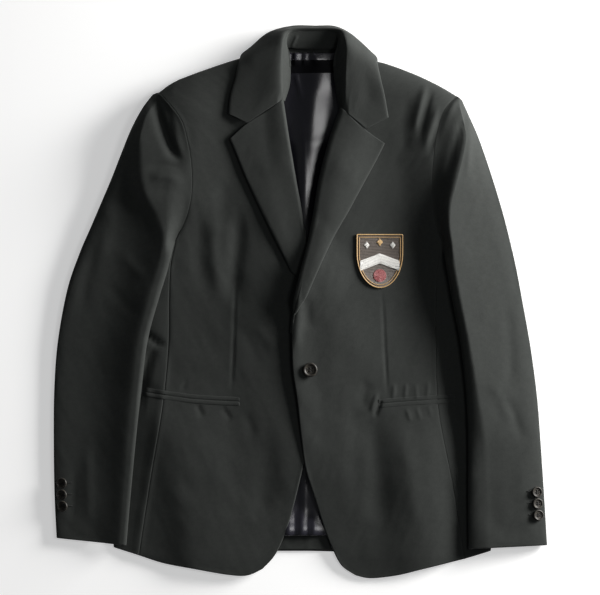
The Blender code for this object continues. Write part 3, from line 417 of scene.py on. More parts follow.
# Neck seam of the stand below the rows of the leaf that it backs
STAND_FIRST_ROW = 2
STAND_SEAM = (
    (-40, 322, 26), (-38, 340, 20), (-30, 348, 13), (-17, 351, 10), (-2, 350, 9), (20, 350, 8.8),
    (41, 350, 9), (56, 350, 10), (68, 346, 13), (75, 338, 20), (77, 322, 26),
)

# Back lining from the turned-up hem to the neck
LINING_COLUMNS = ("y", "right_x", "left_x")
LINING_ROWS = (
    (-323, -205, 208),
    (-150, -190, 195),
    (60, -184, 192),
    (180, -150, 168),
    (290, -78, 98),
    (345, -34, 62),
)
HEM_STRIP = (-342.5, -323.6)

# Folds, one by one: the path of each, half its width, its rise (a trough's is negative) and
# how much steeper its +X side is.
RIGHT_FRONT_FOLDS = (
    (((-135, 133), (-139, 103), (-139, 64), (-132, 34), (-121, 3)), 12.0, -1.3, 0.0),
    (((-119, 125), (-120, 86), (-117, 45), (-109, -4)), 9.0, 1.3, 0.0),
    (((-83, 139), (-86, 86), (-90, 38), (-94, -10)), 11.0, -3.0, 0.0),
    (((-98, 174), (-106, 141), (-102, 92)), 12.0, -1.0, 0.0),
    (((-188, -179), (-171, -231), (-139, -295)), 13.0, -0.6, 0.0),
    (((-130, -190), (-112, -245), (-92, -295)), 15.0, 0.7, 0.0),
    (((-193, -104), (-182, -165), (-171, -204), (-160, -259), (-149, -307), (-130, -466)),
     60.0, 6.6, -0.4),
    (((-52, -169), (-44, -231), (-52, -311)), 17.0, -1.8, 0.0),
    (((-66, -27), (-50, -45), (-32, -70)), 7.0, 0.7, 0.0),
    (((-80, -27), (-68, -59), (-51, -91)), 11.0, -0.6, 0.0),
    (((-144, -140), (-139, -148), (-134, -160)), 3.4, -0.9, 0.0),
    (((-109, -144), (-102, -153), (-95, -165)), 3.6, -0.9, 0.0),
    (((-163, -124), (-160, -115), (-156, -104)), 3.0, -0.4, 0.0),
    (((-160, 321), (-155, 224), (-152, 79)), 42.0, 5.5, 0.0),
    (((-79, -151), (-69, -168), (-63, -190)), 6.0, -0.7, 0.0),
)
LEFT_FRONT_FOLDS = (
    (((144, 321), (130, 224), (139, 128), (153, 3), (174, -135)), 50.0, -6.6, 0.26),
    (((184, -10), (201, -114), (214, -204), (218, -273), (215, -466)), 20.0, -4.6, 0.0),
    (((177, 307), (167, 277), (156, 230)), 5.0, 1.9, 0.2),
    (((184, 299), (174, 263), (164, 221)), 4.6, -1.4, 0.2),
    (((192, 277), (181, 243), (170, 208)), 5.0, 1.7, 0.2),
    (((199, 268), (188, 235), (177, 197)), 4.6, -1.4, 0.2),
    (((152, 293), (145, 249), (145, 197)), 8.0, -0.8, 0.0),
    (((130, -111), (130, -122), (128, -135)), 2.8, 1.0, 0.2),
    (((148, -110), (146, -122), (145, -135)), 2.6, 0.9, 0.2),
    (((160, -113), (161, -122), (161, -135)), 2.4, 0.7, 0.2),
    (((178, -108), (177, -121), (175, -133)), 2.6, 0.9, 0.2),
    (((195, -111), (193, -122), (192, -133)), 2.6, 0.6, 0.2),
    (((146, -146), (149, -153), (153, -165)), 2.6, 0.8, 0.0),
    (((160, -144), (163, -151), (167, -164)), 2.6, 0.7, 0.0),
    (((177, -142), (179, -148), (182, -161)), 2.6, 0.5, 0.0),
    (((97, -107), (88, -128), (87, -151)), 8.0, -1.2, 0.0),
    (((108, -124), (103, -136), (97, -153)), 2.6, 1.3, 0.0),
    (((113, -133), (109, -144), (102, -160)), 2.6, -1.8, 0.0),
    (((94, -135), (102, -190), (109, -245), (113, -335)), 17.0, -2.6, 0.0),
    (((132, -162), (149, -224), (161, -328)), 13.0, 1.0, 0.0),
    (((0, 31), (-3, -22), (-7, -74)), 6.5, 2.4, 0.0),
    (((8, 9), (11, -17), (17, -44)), 8.0, -0.9, 0.0),
    (((41, -4), (62, -38), (72, -86)), 24.0, 0.8, 0.0),
    (((72, -113), (77, -176), (77, -273)), 12.0, -0.9, 0.0),
)
RIGHT_SLEEVE_FOLDS = (
    (((-185, 290), (-174, 257), (-167, 227), (-159, 194)), 8.5, 2.6, 0.0),
    (((-197, 293), (-195, 263), (-186, 234), (-175, 210), (-156, 185)), 6.5, -4.6, 0.2),
    (((-217, 184), (-185, 190), (-152, 181)), 5.0, -1.0, 0.0),
    (((-210, 170), (-185, 173), (-155, 163)), 6.0, 1.2, 0.0),
    (((-215, 151), (-185, 155), (-152, 150)), 6.0, -0.5, 0.0),
    (((-257, 147), (-269, 93), (-280, 45)), 11.0, 1.3, 0.0),
    (((-280, 86), (-295, 31), (-304, -24)), 9.0, -0.9, 0.0),
    (((-293, -179), (-293, -245), (-291, -317)), 8.0, 1.1, 0.0),
    (((-312, -220), (-313, -266), (-315, -309)), 7.0, -0.9, 0.0),
    (((-248, 72), (-229, 47), (-207, 31)), 8.0, 0.9, 0.0),
    (((-265, 28), (-246, 3), (-221, -22)), 8.0, -0.8, 0.0),
)
LEFT_SLEEVE_FOLDS = (
    (((222, 304), (200, 254), (177, 188)), 5.8, 7.4, 0.0),
    (((232, 274), (218, 227), (197, 158)), 6.0, -3.6, 0.0),
    (((235, 263), (235, 224), (229, 169)), 5.0, 1.6, 0.0),
    (((284, 17), (290, -59), (293, -135)), 8.0, -0.8, 0.0),
    (((276, -124), (293, -151), (309, -195)), 7.0, -0.9, 0.0),
    (((259, -107), (279, -135), (295, -176)), 8.0, 0.8, 0.0),
    (((262, -169), (258, -245), (268, -333)), 18.0, -1.8, 0.0),
    (((304, -204), (309, -259), (312, -328)), 12.0, 0.9, 0.0),
)
RIGHT_SIDE_FOLDS = (
    (((-226, -35), (-210, -46), (-195, -57), (-184, -64)), 3.6, -3.4, 0.0),
    (((-196, -52), (-204, -68), (-211, -88), (-218, -124), (-222, -162)), 4.4, -3.4, 0.0),
    (((-188, -60), (-197, -67), (-210, -66)), 3.0, 0.8, 0.0),
    (((-229, -104), (-213, -117), (-193, -126)), 6.0, -1.2, 0.0),
    (((-177, -52), (-192, -137), (-207, -231), (-221, -314), (-237, -424)), 6.0, 1.2, 0.0),
)
CENTRE_FOLDS = (
    (((6, 155), (1, 61), (-6, -59), (-8, -176), (17, -335)), 85.0, 8.0, -0.35),
    (((138, -128), (155, -217), (168, -438)), 44.0, 4.8, 0.0),
)
LAPEL_FOLDS = {
    -1: ((((-10, 200), (-30, 190), (-60, 176)), 14.0, 0.5, 0.0),
         (((8, 110), (-6, 100), (-24, 96)), 10.0, -0.4, 0.0)),
    1: ((((38, 190), (60, 180), (84, 168)), 14.0, 0.6, 0.0),
        (((24, 120), (36, 108), (50, 100)), 9.0, -0.5, 0.0)),
}
COLLAR_FOLDS = (
    (((-76, 330), (-62, 342), (-48, 366)), 10.0, 0.5, 0.0),
    (((98, 262), (92, 300), (80, 345)), 12.0, -0.9, 0.0),
)
STAND_FOLDS = (
    (((-3, 371), (-8, 360), (-13, 350)), 2.2, 1.0, 0.0),
)
HEM_FOLDS = (
    (((12, -320), (11.5, -332), (11, -346)), 1.6, 0.9, 0.0),
    (((40, -322), (38, -332), (36, -345)), 3.0, 0.5, 0.0),
    (((-22, -322), (-20, -332), (-18, -345)), 3.0, 0.4, 0.0),
)

# Darts pressed into the fronts
DART_FOLDS = (
    (((-87, 42), (-90, 3), (-92, -66), (-95, -133)), 1.9, -1.1, 0.0),
    (((110, 25), (114, 1), (117, -63), (121, -135)), 1.9, -1.1, 0.0),
)

# The lining in the neck, down the front opening and above the hem
LINING_FOLDS = (
    (((15, 333), (17, 342), (19, 352)), 2.2, 1.4, 0.0),
    (((-8, 322), (-2, 300), (4, 276)), 3.0, 1.2, 0.0),
    (((4, 262), (5, 220), (6, 190), (7, 150), (8, 100)), 2.4, 0.8, 0.2),
    (((7, -215), (5, -258), (5, -300), (6, -345)), 3.0, 1.3, 0.0),
    (((-20, -262), (-19, -300), (-19, -350)), 12.0, 1.2, 0.0),
    (((-20, -284), (-19, -312), (-19, -345)), 7.5, 3.1, -0.6),
    (((-1, -284), (0, -312), (0, -345)), 7.5, 3.1, -0.6),
    (((16, -286), (17, -312), (17, -345)), 7.0, 3.0, -0.6),
    (((60, 120), (62, 20), (58, -120), (48, -250)), 22.0, 1.2, 0.0),
    (((-90, 140), (-96, 20), (-98, -120), (-92, -250)), 24.0, 1.2, 0.0),
)

# Broad swell of the lining down the neck, and its short folds above the label
LINING_SWELLS = (
    (((30, 372), (23, 307), (16, 280), (11, 224), (8, 196), (2, 141), (-6, 70)), 19.0, 5.6, 0.0),
    (((-26, 362), (-24, 342), (-22, 324)), 6.0, 2.9, -0.6),
    (((-9, 362), (-7, 342), (-8, 324)), 5.5, 2.6, -0.6),
    (((5, 362), (6, 342), (4, 324)), 4.0, 1.8, -0.6),
    (((18, 362), (20, 342), (22, 324)), 6.5, 3.0, -0.6),
)

# Soft folds of the back, which is lifted off the floor along them
BACK_FOLDS = (
    (((-120, 250), (-128, 170), (-122, 80), (-104, 10)), 12.0, 1.6, 0.2),
    (((132, 255), (140, 180), (133, 95), (118, 20)), 11.0, 1.7, -0.2),
    (((-168, 60), (-150, -40), (-152, -150), (-166, -240)), 13.0, 1.3, 0.0),
    (((178, 70), (162, -30), (160, -140), (172, -230)), 12.0, 1.4, 0.0),
    (((-70, -120), (-78, -190), (-70, -290)), 14.0, 1.2, 0.0),
    (((84, -100), (92, -180), (86, -300)), 14.0, 1.2, 0.0),
    (((-40, 232), (10, 218), (62, 230)), 9.0, 0.8, 0.0),
    (((-60, 60), (-20, 44), (16, 40)), 10.0, 0.9, 0.0),
    (((96, 52), (62, 36), (30, 36)), 9.0, 0.9, 0.0),
)
LEFT_SIDE_FOLDS = (
    (((232, 20), (240, -10), (246, -30)), 7.0, -1.6, 0.0),
    (((206, -140), (222, -165), (240, -178)), 8.0, -1.2, 0.0),
    (((212, -220), (232, -240), (250, -246)), 8.0, 1.0, 0.0),
)
BODY_FOLDS = (CENTRE_FOLDS + RIGHT_FRONT_FOLDS + LEFT_FRONT_FOLDS + RIGHT_SIDE_FOLDS
              + LEFT_SIDE_FOLDS + DART_FOLDS)
SLEEVE_FOLDS = {-1: RIGHT_SLEEVE_FOLDS, 1: LEFT_SLEEVE_FOLDS}

# Pockets, side seam end to dart end, and the places of the cuff buttons
JETS = {
    -1: ((-218, -123), (-150, -133), (-83, -137)),
    1: ((108, -140), (160, -136), (214, -133)),
}
CUFF_BUTTONS = {
    -1: ((-329, -250), (-329, -266), (-328, -282)),
    1: ((327, -262), (328, -278), (329, -294)),
}

# Worked motifs: centre, width, height, corners (0 for a disc) and thread
BADGE_MOTIFS = (
    (110.0, 83.0, 9.0, 11.0, 4, "gold"),
    (92.0, 79.0, 8.0, 10.0, 4, "pale"),
    (128.0, 79.0, 8.0, 10.0, 4, "pale"),
    (110.0, 37.0, 18.0, 18.0, 0, "red"),
    (110.0, 37.0, 9.0, 9.0, 0, "pale"),
)

# Section of a button from the dish over the rim to the back: shares of radius and thickness
BUTTON_PROFILE = (
    (0.48, 0.60),
    (0.62, 0.64),
    (0.74, 0.93),
    (0.86, 1.0),
    (0.96, 0.86),
    (1.0, 0.62),
    (0.97, 0.3),
    (0.8, 0.02),
    (0.4, 0.0),
    (0.0, 0.0),
)

# Each sheet, in the order in which they are measured, and what it lies on
LAYERS = (
    ("back_left", "floor"),
    ("back_right", "floor"),
    ("side_left", "floor"),
    ("side_right", "floor"),
    ("lining_back", "back_left", "back_right"),
    ("back_facing", "back_left", "back_right"),
    ("neck_label", "lining_back"),
    ("front_right", "lining_back", "side_right"),
    ("front_left", "front_right", "lining_back", "side_left"),
    *(row for word in SIDE_NAMES.values() for row in (
        ("lapel_" + word, "front_" + word),
        ("under_sleeve_" + word, "floor", "side_" + word),
        ("top_sleeve_" + word, "under_sleeve_" + word),
        ("jet_upper_" + word, "front_" + word),
        ("jet_lower_" + word, "front_" + word),
    )),
    ("collar_stand", "back_left", "back_right"),
    ("collar_leaf", "front_left", "front_right", "collar_stand"),
    ("badge_ground", "front_left"),
    ("badge_band", "badge_ground"),
)
LEAST_SHEET = 10.0
LEAST_SHEET_FILL = 0.3

# Finishes: lengths in metres between two ribs, floats, stitches and turns of thread
TWILL_PITCH = 0.00085
SATIN_PITCH = 0.0005
STITCH_PITCH = 0.0006
BADGE_GROUND_PITCH = 0.0009
STITCH_ROW = 0.0041
THREAD_PITCH = 0.0007
HORN_STOPS = (
    (0.30, (0.010, 0.009, 0.008)),
    (0.52, (0.024, 0.021, 0.017)),
    (0.70, (0.052, 0.047, 0.036)),
)

# Stage, in metres
FLOOR_SIZE = 4.0
FLOOR_Z = -0.0005
FLOOR_DARK = (0.80, 0.80, 0.795)
FLOOR_LIGHT = (0.84, 0.84, 0.84)
KEY_TONE = (1.0, 0.99, 0.975)
AMBIENT_TONE = (0.92, 0.96, 1.0, 1.0)
CAMERA_REACH = 50.0
KEY_PLACE = (1.92, 0.80, 0.53)
KEY_SIZE = (1.1, 0.7)
KEY_POWER = 130.0
FILL_PLACE = (1.56, 0.2, 2.9)
FILL_SIZE = (0.9, 0.9)
FILL_POWER = 12.0
AMBIENT = 0.06
FLOOR_GLOW = 0.45
CAMERA_PLACE = (-0.0006, 0.0062, 6.0)
CAMERA_LENS = 260.0


def table(columns, rows):
    """Columns of a table by name."""
    return {name: np.array([row[place] for row in rows], float)
            for place, name in enumerate(columns)}


BODY = table(BODY_COLUMNS, BODY_ROWS)
SIDES = table(SIDE_COLUMNS, SIDE_ROWS)
LINING = table(LINING_COLUMNS, LINING_ROWS)
LEAF = table(LEAF_COLUMNS, LEAF_ROWS)
SLEEVES = {side: table(SLEEVE_COLUMNS, rows) for side, rows in SLEEVE_ROWS.items()}
LAPELS = {side: table(LAPEL_COLUMNS, rows) for side, rows in LAPEL_ROWS.items()}
CUTS = {}


# --- curves and patches ---

def spline(points, places):
    """Smooth curve through the points, read at places counted from 0 along the points."""
    points = np.asarray(points, float)
    places = np.asarray(places, float)
    last = len(points) - 1
    index = np.clip(np.floor(places).astype(int), 0, last - 1)
    part = (places - index)[:, None]
    before = points[np.maximum(index - 1, 0)]
    here = points[index]
    there = points[index + 1]
    after = points[np.minimum(index + 2, last)]
    leave = 0.5 * (there - before)
    arrive = 0.5 * (after - here)
    square = part * part
    cube = square * part
    return ((2 * cube - 3 * square + 1) * here + (cube - 2 * square + part) * leave
            + (3 * square - 2 * cube) * there + (cube - square) * arrive)


def run(points, shares):
    """Points at shares of the length along the smooth curve through the points."""
    fine = spline(points, np.linspace(0, len(points) - 1, 60 * len(points)))
    lengths = np.concatenate(([0.0], np.cumsum(np.linalg.norm(np.diff(fine, axis=0), axis=1))))
    wanted = np.asarray(shares) * lengths[-1]
    return np.stack([np.interp(wanted, lengths, fine[:, axis])
                     for axis in range(fine.shape[1])], axis=1)


def rimmed(length, count, first=True, last=True):
    """Shares of a length from 0 to 1, closer together where a border rolls over."""
    rim = np.array((0.0, *RIM_STEPS)) / length
    low = rim if first else np.zeros(1)
    high = 1.0 - rim[::-1] if last else np.ones(1)
    return np.concatenate((low, np.linspace(low[-1], high[0], count)[1:-1], high))


def shares_of(kind):
    """Shares from 0 to 1 of a panel's grid lines, along it and across it."""
    return [rimmed(*size) for size in GRIDS[kind]]


def two_runs(first, second, split, shares):
    """One line of points along two curves that meet at a share of the whole."""
    before = shares <= split
    return np.concatenate((run(first, shares[before] / split),
                           run(second, (shares[~before] - split) / (1.0 - split))))


def coons(bottom, top, start, end, across, along):
    """Plan points of a panel between four edges that share their corners."""
    across = across[None, :, None]
    along = along[:, None, None]
    between_rows = (1 - along) * bottom[None] + along * top[None]
    between_columns = (1 - across) * start[:, None] + across * end[:, None]
    corners = ((1 - across) * (1 - along) * bottom[0] + across * (1 - along) * bottom[-1]
               + (1 - across) * along * top[0] + across * along * top[-1])
    return between_rows + between_columns - corners


def soft_step(value):
    """0 below 0, 1 above 1 and smooth between."""
    value = np.clip(value, 0.0, 1.0)
    return value * value * (3.0 - 2.0 * value)


def risen(value, begin):
    """How far a rule has grown: 0 where it starts and 1 after its length."""
    start, length = begin
    return soft_step((value - start) / length)


def pillow(distance, reach):
    """Round shoulder of a soft edge: 0 at the edge and 1 from the reach inwards."""
    part = 1.0 - np.clip(np.asarray(distance, float) / reach, 0.0, 1.0)
    return np.sqrt(1.0 - part * part)


def dome(share):
    """Height of a round crown: 1 in the middle and 0 from -1 or 1 outwards."""
    return np.sqrt(np.maximum(1.0 - share ** 2, 0.0))


def half_turn(count):
    """Places from -1 to 1 that lie closer together towards the ends."""
    return np.sin(np.linspace(-math.pi / 2, math.pi / 2, count))


def quarter_turn(count):
    """Angles from level to upright."""
    return np.radians(np.linspace(0, 90, count))


def softened(z, passes):
    """Heights of evenly spaced columns with their creases rounded off, the outermost kept."""
    place = np.arange(z.shape[1])
    share = soft_step(np.minimum(place, place[::-1]) / SOFTENED_BORDER)
    for _ in range(passes):
        wide = np.pad(z, ((0, 0), (2, 2)), mode="edge")
        mean = (wide[:, :-4] + 4 * wide[:, 1:-3] + 6 * z + 4 * wide[:, 3:-1] + wide[:, 4:]) / 16
        z = z + (mean - z) * share
    return z


def beside(path, x, y):
    """Share of a path's length nearest to each point and its distance to the +X side of it."""
    points = run(path, np.linspace(0, 1, 6 * len(path)))
    start = points[:-1]
    step = np.diff(points, axis=0)
    length = np.hypot(step[:, 0], step[:, 1])
    step = step / length[:, None]
    over = x[..., None] - start[:, 0]
    up = y[..., None] - start[:, 1]
    along = np.clip(over * step[:, 0] + up * step[:, 1], 0.0, length)
    gap = np.hypot(over - along * step[:, 0], up - along * step[:, 1])
    right = np.where(over * step[:, 1] - up * step[:, 0] < 0, -1.0, 1.0)
    if path[-1][1] < path[0][1]:
        right = -right
    nearest = gap.argmin(axis=-1)[..., None]
    begun = np.concatenate(([0.0], np.cumsum(length)[:-1]))
    share = np.take_along_axis((begun + along) / length.sum(), nearest, -1)[..., 0]
    aside = np.take_along_axis(gap * right, nearest, -1)[..., 0]
    return share, aside


def folds(rows, x, y):
    """Height that a table of soft folds adds; each row is path, half width, rise and lean."""
    x, y = np.broadcast_arrays(np.asarray(x, float), np.asarray(y, float))
    total = np.zeros(x.shape)
    for path, width, rise, lean in rows:
        reach = FOLD_REACH * width
        line = np.array(path, float)
        near = ((x > line[:, 0].min() - reach) & (x < line[:, 0].max() + reach)
                & (y > line[:, 1].min() - reach) & (y < line[:, 1].max() + reach))
        if not near.any():
            continue
        share, aside = beside(path, x[near], y[near])
        half = width * np.where(aside > 0, 1.0 - lean, 1.0 + lean)
        fade = soft_step(share / FOLD_FADE) * soft_step((1.0 - share) / FOLD_FADE)
        total[near] += rise * fade * np.exp(-np.abs(aside / half) ** 2)
    return total


def lumps(x, y, size, seed):
    """Small unevenness between -1 and 1, the same on every run."""
    last = LUMP_LATTICE
    lattice = np.random.default_rng(seed).uniform(-1.0, 1.0, (last, last))
    u, v = np.asarray(x) / size + LUMP_SHIFT, np.asarray(y) / size + LUMP_SHIFT
    column, row = np.floor(u).astype(int), np.floor(v).astype(int)
    across, up = soft_step(u - column), soft_step(v - row)
    low, high = (lattice[line % last, column % last] * (1 - across)
                 + lattice[line % last, (column + 1) % last] * across for line in (row, row + 1))
    return low * (1 - up) + high * up


# --- heights of the laid jacket ---

def side_column(name, side, y):
    """A column of the side table on one side, at y."""
    word = SIDE_NAMES[side]
    return np.interp(y, SIDES[word + "_y"], SIDES[word + "_" + name])


def shoulder_line(x):
    """Y of the shoulder's silhouette above x."""
    line = np.array((*SHOULDERS[-1], *SHOULDERS[1][::-1]), float)
    y = np.interp(x, line[:, 0], line[:, 1])
    y = y - SHOULDER_SLOPE * np.maximum(line[0, 0] - x, 0.0)
    return y - SHOULDER_SLOPE * np.maximum(x - line[-1, 0], 0.0)


def body_height(y):
    """Thickness of the laid body at y."""
    return np.interp(y, BODY["y"], BODY["height"])


def body_top(x, y):
    """Height of the fronts' outer face above the floor."""
    height = body_height(y)
    inside = np.minimum(x - side_column("fold", -1, y), side_column("fold", 1, y) - x)
    side_share = pillow(inside, SIDE_REACH)
    shoulder_share = pillow(shoulder_line(x) - y, SHOULDER_REACH)
    side_mid = SIDE_MID_SHARE * height
    z = side_mid + (height - side_mid) * side_share
    z = SHOULDER_MID + (z - SHOULDER_MID) * shoulder_share
    return z + folds(BODY_FOLDS, x, y) * soft_step(inside / FOLD_BORDER)


def left_edge_x(y):
    """X of the left front's edge or roll line, which the right front passes under."""
    lapel = LAPELS[1]
    edge_x, edge_y = np.array(EDGES[1]).T
    return np.interp(y, np.concatenate((edge_y, lapel["roll_y"][1:])),
                     np.concatenate((edge_x, lapel["roll_x"][1:])))


def front_top(side, x, y):
    """Height of one front's outer face: the left front laps over the right one."""
    z = body_top(x, y)
    near = left_edge_x(y)
    if side < 0:
        under = soft_step((x - near + OVERLAP_REACH[side]) / OVERLAP_REACH[side])
        return z - OVERLAP_SINK * under * risen(y, UNDERLAP_FROM)
    over = 1.0 - soft_step((x - near) / OVERLAP_REACH[side])
    away = np.hypot(x - CROSSING[0], y - CROSSING[1]) / CROSSING_REACH
    end, fade = OVERLAP_UNTIL
    over = over * risen(y, OVERLAP_FROM) * soft_step((end - y) / fade)
    crossing = 1.0 - soft_step(away - CROSSING_FLAT)
    return z + OVERLAP_LIFT * over + CROSSING_LIFT * crossing


def on_front(side, x, y, lift=0.0):
    """Points that lie on a front's face, or a little above it."""
    x, y = np.broadcast_arrays(x, y)
    return np.stack((x, y, front_top(side, x, y) + lift), axis=-1)


def neck_share(x):
    """1 across the neck opening, 0 on the shoulders."""
    right, left = NECK_OPENING
    return soft_step((x - right) / NECK_FADE) * soft_step((left - x) / NECK_FADE)


def back_under(x, y):
    """Height of the back's outer face, which rests on the floor between its soft folds."""
    rise = BACK_SHOULDER_MID * (1.0 - pillow(shoulder_line(x) - y, BACK_SHOULDER_REACH))
    right, left = NECK_LIFT_SIDES
    neck = NECK_LIFT * risen(y, NECK_LIFT_FROM) * soft_step((x - right) / NECK_LIFT_FADE)
    neck = neck * soft_step((left - x) / NECK_LIFT_FADE)
    return rise * (1.0 - neck_share(x)) + neck + folds(BACK_FOLDS, x, y)


def hem_slant(y):
    """How much shorter the back is than the front near the hem."""
    start, length = BACK_HEM_SLANT_FROM
    return BACK_HEM_SLANT * soft_step((start - y) / length)


# --- panels ---

def world(point):
    """A point of the tables in metres from the origin."""
    return (np.asarray(point, float) - MIDDLE) * MM


def spans(grid):
    """Distances of every grid point from its four borders, along its row and its column."""
    across = np.linalg.norm(np.diff(grid, axis=1), axis=-1)
    along = np.linalg.norm(np.diff(grid, axis=0), axis=-1)
    start = np.concatenate((np.zeros((len(grid), 1)), np.cumsum(across, axis=1)), axis=1)
    low = np.concatenate((np.zeros((1, grid.shape[1])), np.cumsum(along, axis=0)), axis=0)
    return start, start[:, -1:] - start, low, low[-1:] - low


def facing(grid, outward):
    """Unit normals of a grid on its outward side."""
    normal = np.cross(np.gradient(grid, axis=1), np.gradient(grid, axis=0))
    normal /= np.maximum(np.linalg.norm(normal, axis=-1, keepdims=True), 1e-9)
    return -normal if (normal @ np.array(outward, float)).sum() < 0 else normal


def shaped(grid, outward, borders, seed, fine, broad):
    """A panel's grid with its borders rolled or sunk and its cloth slightly uneven.

    borders holds (depth, reach) for the first column, last column, first row and last row.
    """
    drop = np.zeros(grid.shape[:2])
    rim = np.ones(grid.shape[:2])
    distances = spans(grid)
    for (depth, reach), distance in zip(borders, distances):
        drop = np.maximum(drop, depth * (1.0 - pillow(distance, reach)))
        worn = np.where(np.asarray(depth) > 0, soft_step(distance / RIM_WEAR), 1.0)
        rim = np.minimum(rim, worn)
    start, _, low, _ = distances
    small, large, least = LUMP_SIZES
    lift = (fine * lumps(start, low, small, seed) + broad * lumps(start, low, large, seed + 1)
            + 0.5 * fine * lumps(start + 0.6 * low, low * 0.4, least, seed + 2))
    lift = lift * soft_step(np.minimum.reduce(distances) / LUMP_BORDER)
    shifted = grid + facing(grid, outward) * (lift - drop)[..., None]
    shifted[..., 2] = np.maximum(shifted[..., 2], 0.0)
    return shifted, rim


def cloth_mesh(name, grid, outward, rim=None):
    """A mesh of the grid, facing outward, with the cloth's own lengths kept for its weave."""
    rows, columns = grid.shape[:2]
    start, _, low, _ = spans(grid)
    rim = np.ones((rows, columns)) if rim is None else rim
    places = world(grid)
    mesh = bpy.data.meshes.new(name)
    cloth = bmesh.new()
    grain = cloth.verts.layers.float_vector.new("grain")
    bmesh.ops.create_grid(cloth, x_segments=columns - 1, y_segments=rows - 1, size=0.5)
    for vertex in cloth.verts:
        column = round((vertex.co.x + 0.5) * (columns - 1))
        row = round((vertex.co.y + 0.5) * (rows - 1))
        vertex.co = places[row, column]
        vertex[grain] = (start[row, column] * MM, low[row, column] * MM, rim[row, column])
    cloth.normal_update()
    if sum(face.normal.dot(outward) * face.calc_area() for face in cloth.faces) < 0:
        bmesh.ops.reverse_faces(cloth, faces=cloth.faces)
    cloth.to_mesh(mesh)
    cloth.free()
    mesh.shade_smooth()
    return mesh


def place_piece(name, data, finish, slot, *nodes):
    """Link a piece, let it ride on the jacket and stand for its CAD nodes."""
    piece = bpy.data.objects.new(name, data)
    bpy.context.scene.collection.objects.link(piece)
    data.materials.append(finish)
    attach(piece, "root")
    if nodes:
        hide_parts(*nodes)
    return piece


def sheet(kind, side, grid, finish, borders, outward=UP):
    """A cloth panel that stands for its node, with its wall behind the outer face."""
    node = kind + "_" + SIDE_NAMES[side] if side else kind
    seed, fine, broad, wall, slot = PANELS[kind]
    grid, rim = shaped(grid, outward, borders, seed + side, fine, broad)
    mesh = cloth_mesh(node + "_cloth", grid, outward, rim)
    piece = place_piece(node + "_cloth", mesh, finish, slot, node)
    solid = piece.modifiers.new("wall", "SOLIDIFY")
    solid.thickness = wall * MM
    solid.offset = -1.0
    CUTS[node] = (piece, grid)


def declare(node, *rests_on):
    """Work out what size a panel was cut to, measured along its own grid, and the names of what
    it lies on; the results are not passed on.
    """
    piece, grid = CUTS[node]
    start, _, low, _ = spans(grid)
    width, length = (max(size, LEAST_SHEET) for size in (start[:, -1].max(), low[-1].max()))
    across = np.diff(grid, axis=1)[:-1]
    along = np.diff(grid, axis=0)[:, :-1]
    area = np.linalg.norm(np.cross(across, along), axis=-1).sum()
    area = min(max(area, LEAST_SHEET_FILL * width * length), width * length)
    width * MM
    length * MM
    [CUTS[name][0].name if name in CUTS else name for name in rests_on]
    area * MM * MM


# --- body ---

def lapel_lines(side, shares):
    """Roll line, outer edge and roll radius of a lapel at shares from break to gorge."""
    lapel = LAPELS[side]
    places = np.asarray(shares) * (len(lapel["bend"]) - 1)
    roll = spline(np.stack((lapel["roll_x"], lapel["roll_y"]), axis=1), places)
    edge = spline(np.stack((lapel["edge_x"], lapel["edge_y"]), axis=1), places)
    bend = np.interp(places, np.arange(len(lapel["bend"])), lapel["bend"])
    aim = edge - roll
    width = np.linalg.norm(aim, axis=1)
    aim = aim / width[:, None]
    grown = risen(np.asarray(shares), LAPEL_END)
    bend = bend * (LAPEL_END_BEND + (1.0 - LAPEL_END_BEND) * grown)
    width = np.maximum(width * grown, bend + LAPEL_END_WIDTH)
    edge = roll + aim * width[:, None]
    return roll + aim * bend[:, None], edge, bend, aim, width


def side_seam(side):
    """Plan points of the front side seam, hem to underarm."""
    word = SIDE_NAMES[side]
    points = np.stack((SIDES[word + "_seam"], SIDES[word + "_y"]), axis=1)
    points[0] = HEMS[side][0]
    return points


def armhole(side, column="inner"):
    """Plan points of the armhole seam, underarm to shoulder tip."""
    sleeve = SLEEVES[side]
    return np.stack((sleeve[column + "_x"], sleeve[column + "_y"]), axis=1)[ARMHOLE_ROW:]


def front_panels(finish):
    """The two fronts, hem to shoulder and side seam to front edge."""
    along, across = shares_of("front")
    for side in (-1, 1):
        base = lapel_lines(side, np.linspace(0, 1, 40))[0]
        hem = run(HEMS[side], across)
        end = two_runs([*EDGES[side][:-1], base[0]], base, FRONT_LENGTH_SPLIT, along)
        outer = two_runs(side_seam(side), armhole(side), FRONT_LENGTH_SPLIT, along)
        top = two_runs(SHOULDERS[side], [*NECKLINES[side], base[-1]], FRONT_WIDTH_SPLIT, across)
        outer[0], outer[-1], end[0], end[-1] = hem[0], top[0], hem[-1], top[-1]
        plan = coons(hem, top, outer, end, across, along)
        grid = on_front(side, plan[..., 0], plan[..., 1])
        open_edge = EDGE_ROLL[0] * (1 - risen(along, EDGE_ROLL_END))[:, None]
        outer_sink = np.where(along < FRONT_LENGTH_SPLIT, SEAM_SINK[0], SHOULDER_SINK)[:, None]
        sheet("front", side, grid, finish, (
            (outer_sink, SEAM_SINK[1]), (open_edge, EDGE_ROLL[1]), EDGE_ROLL, SEAM_SINK))


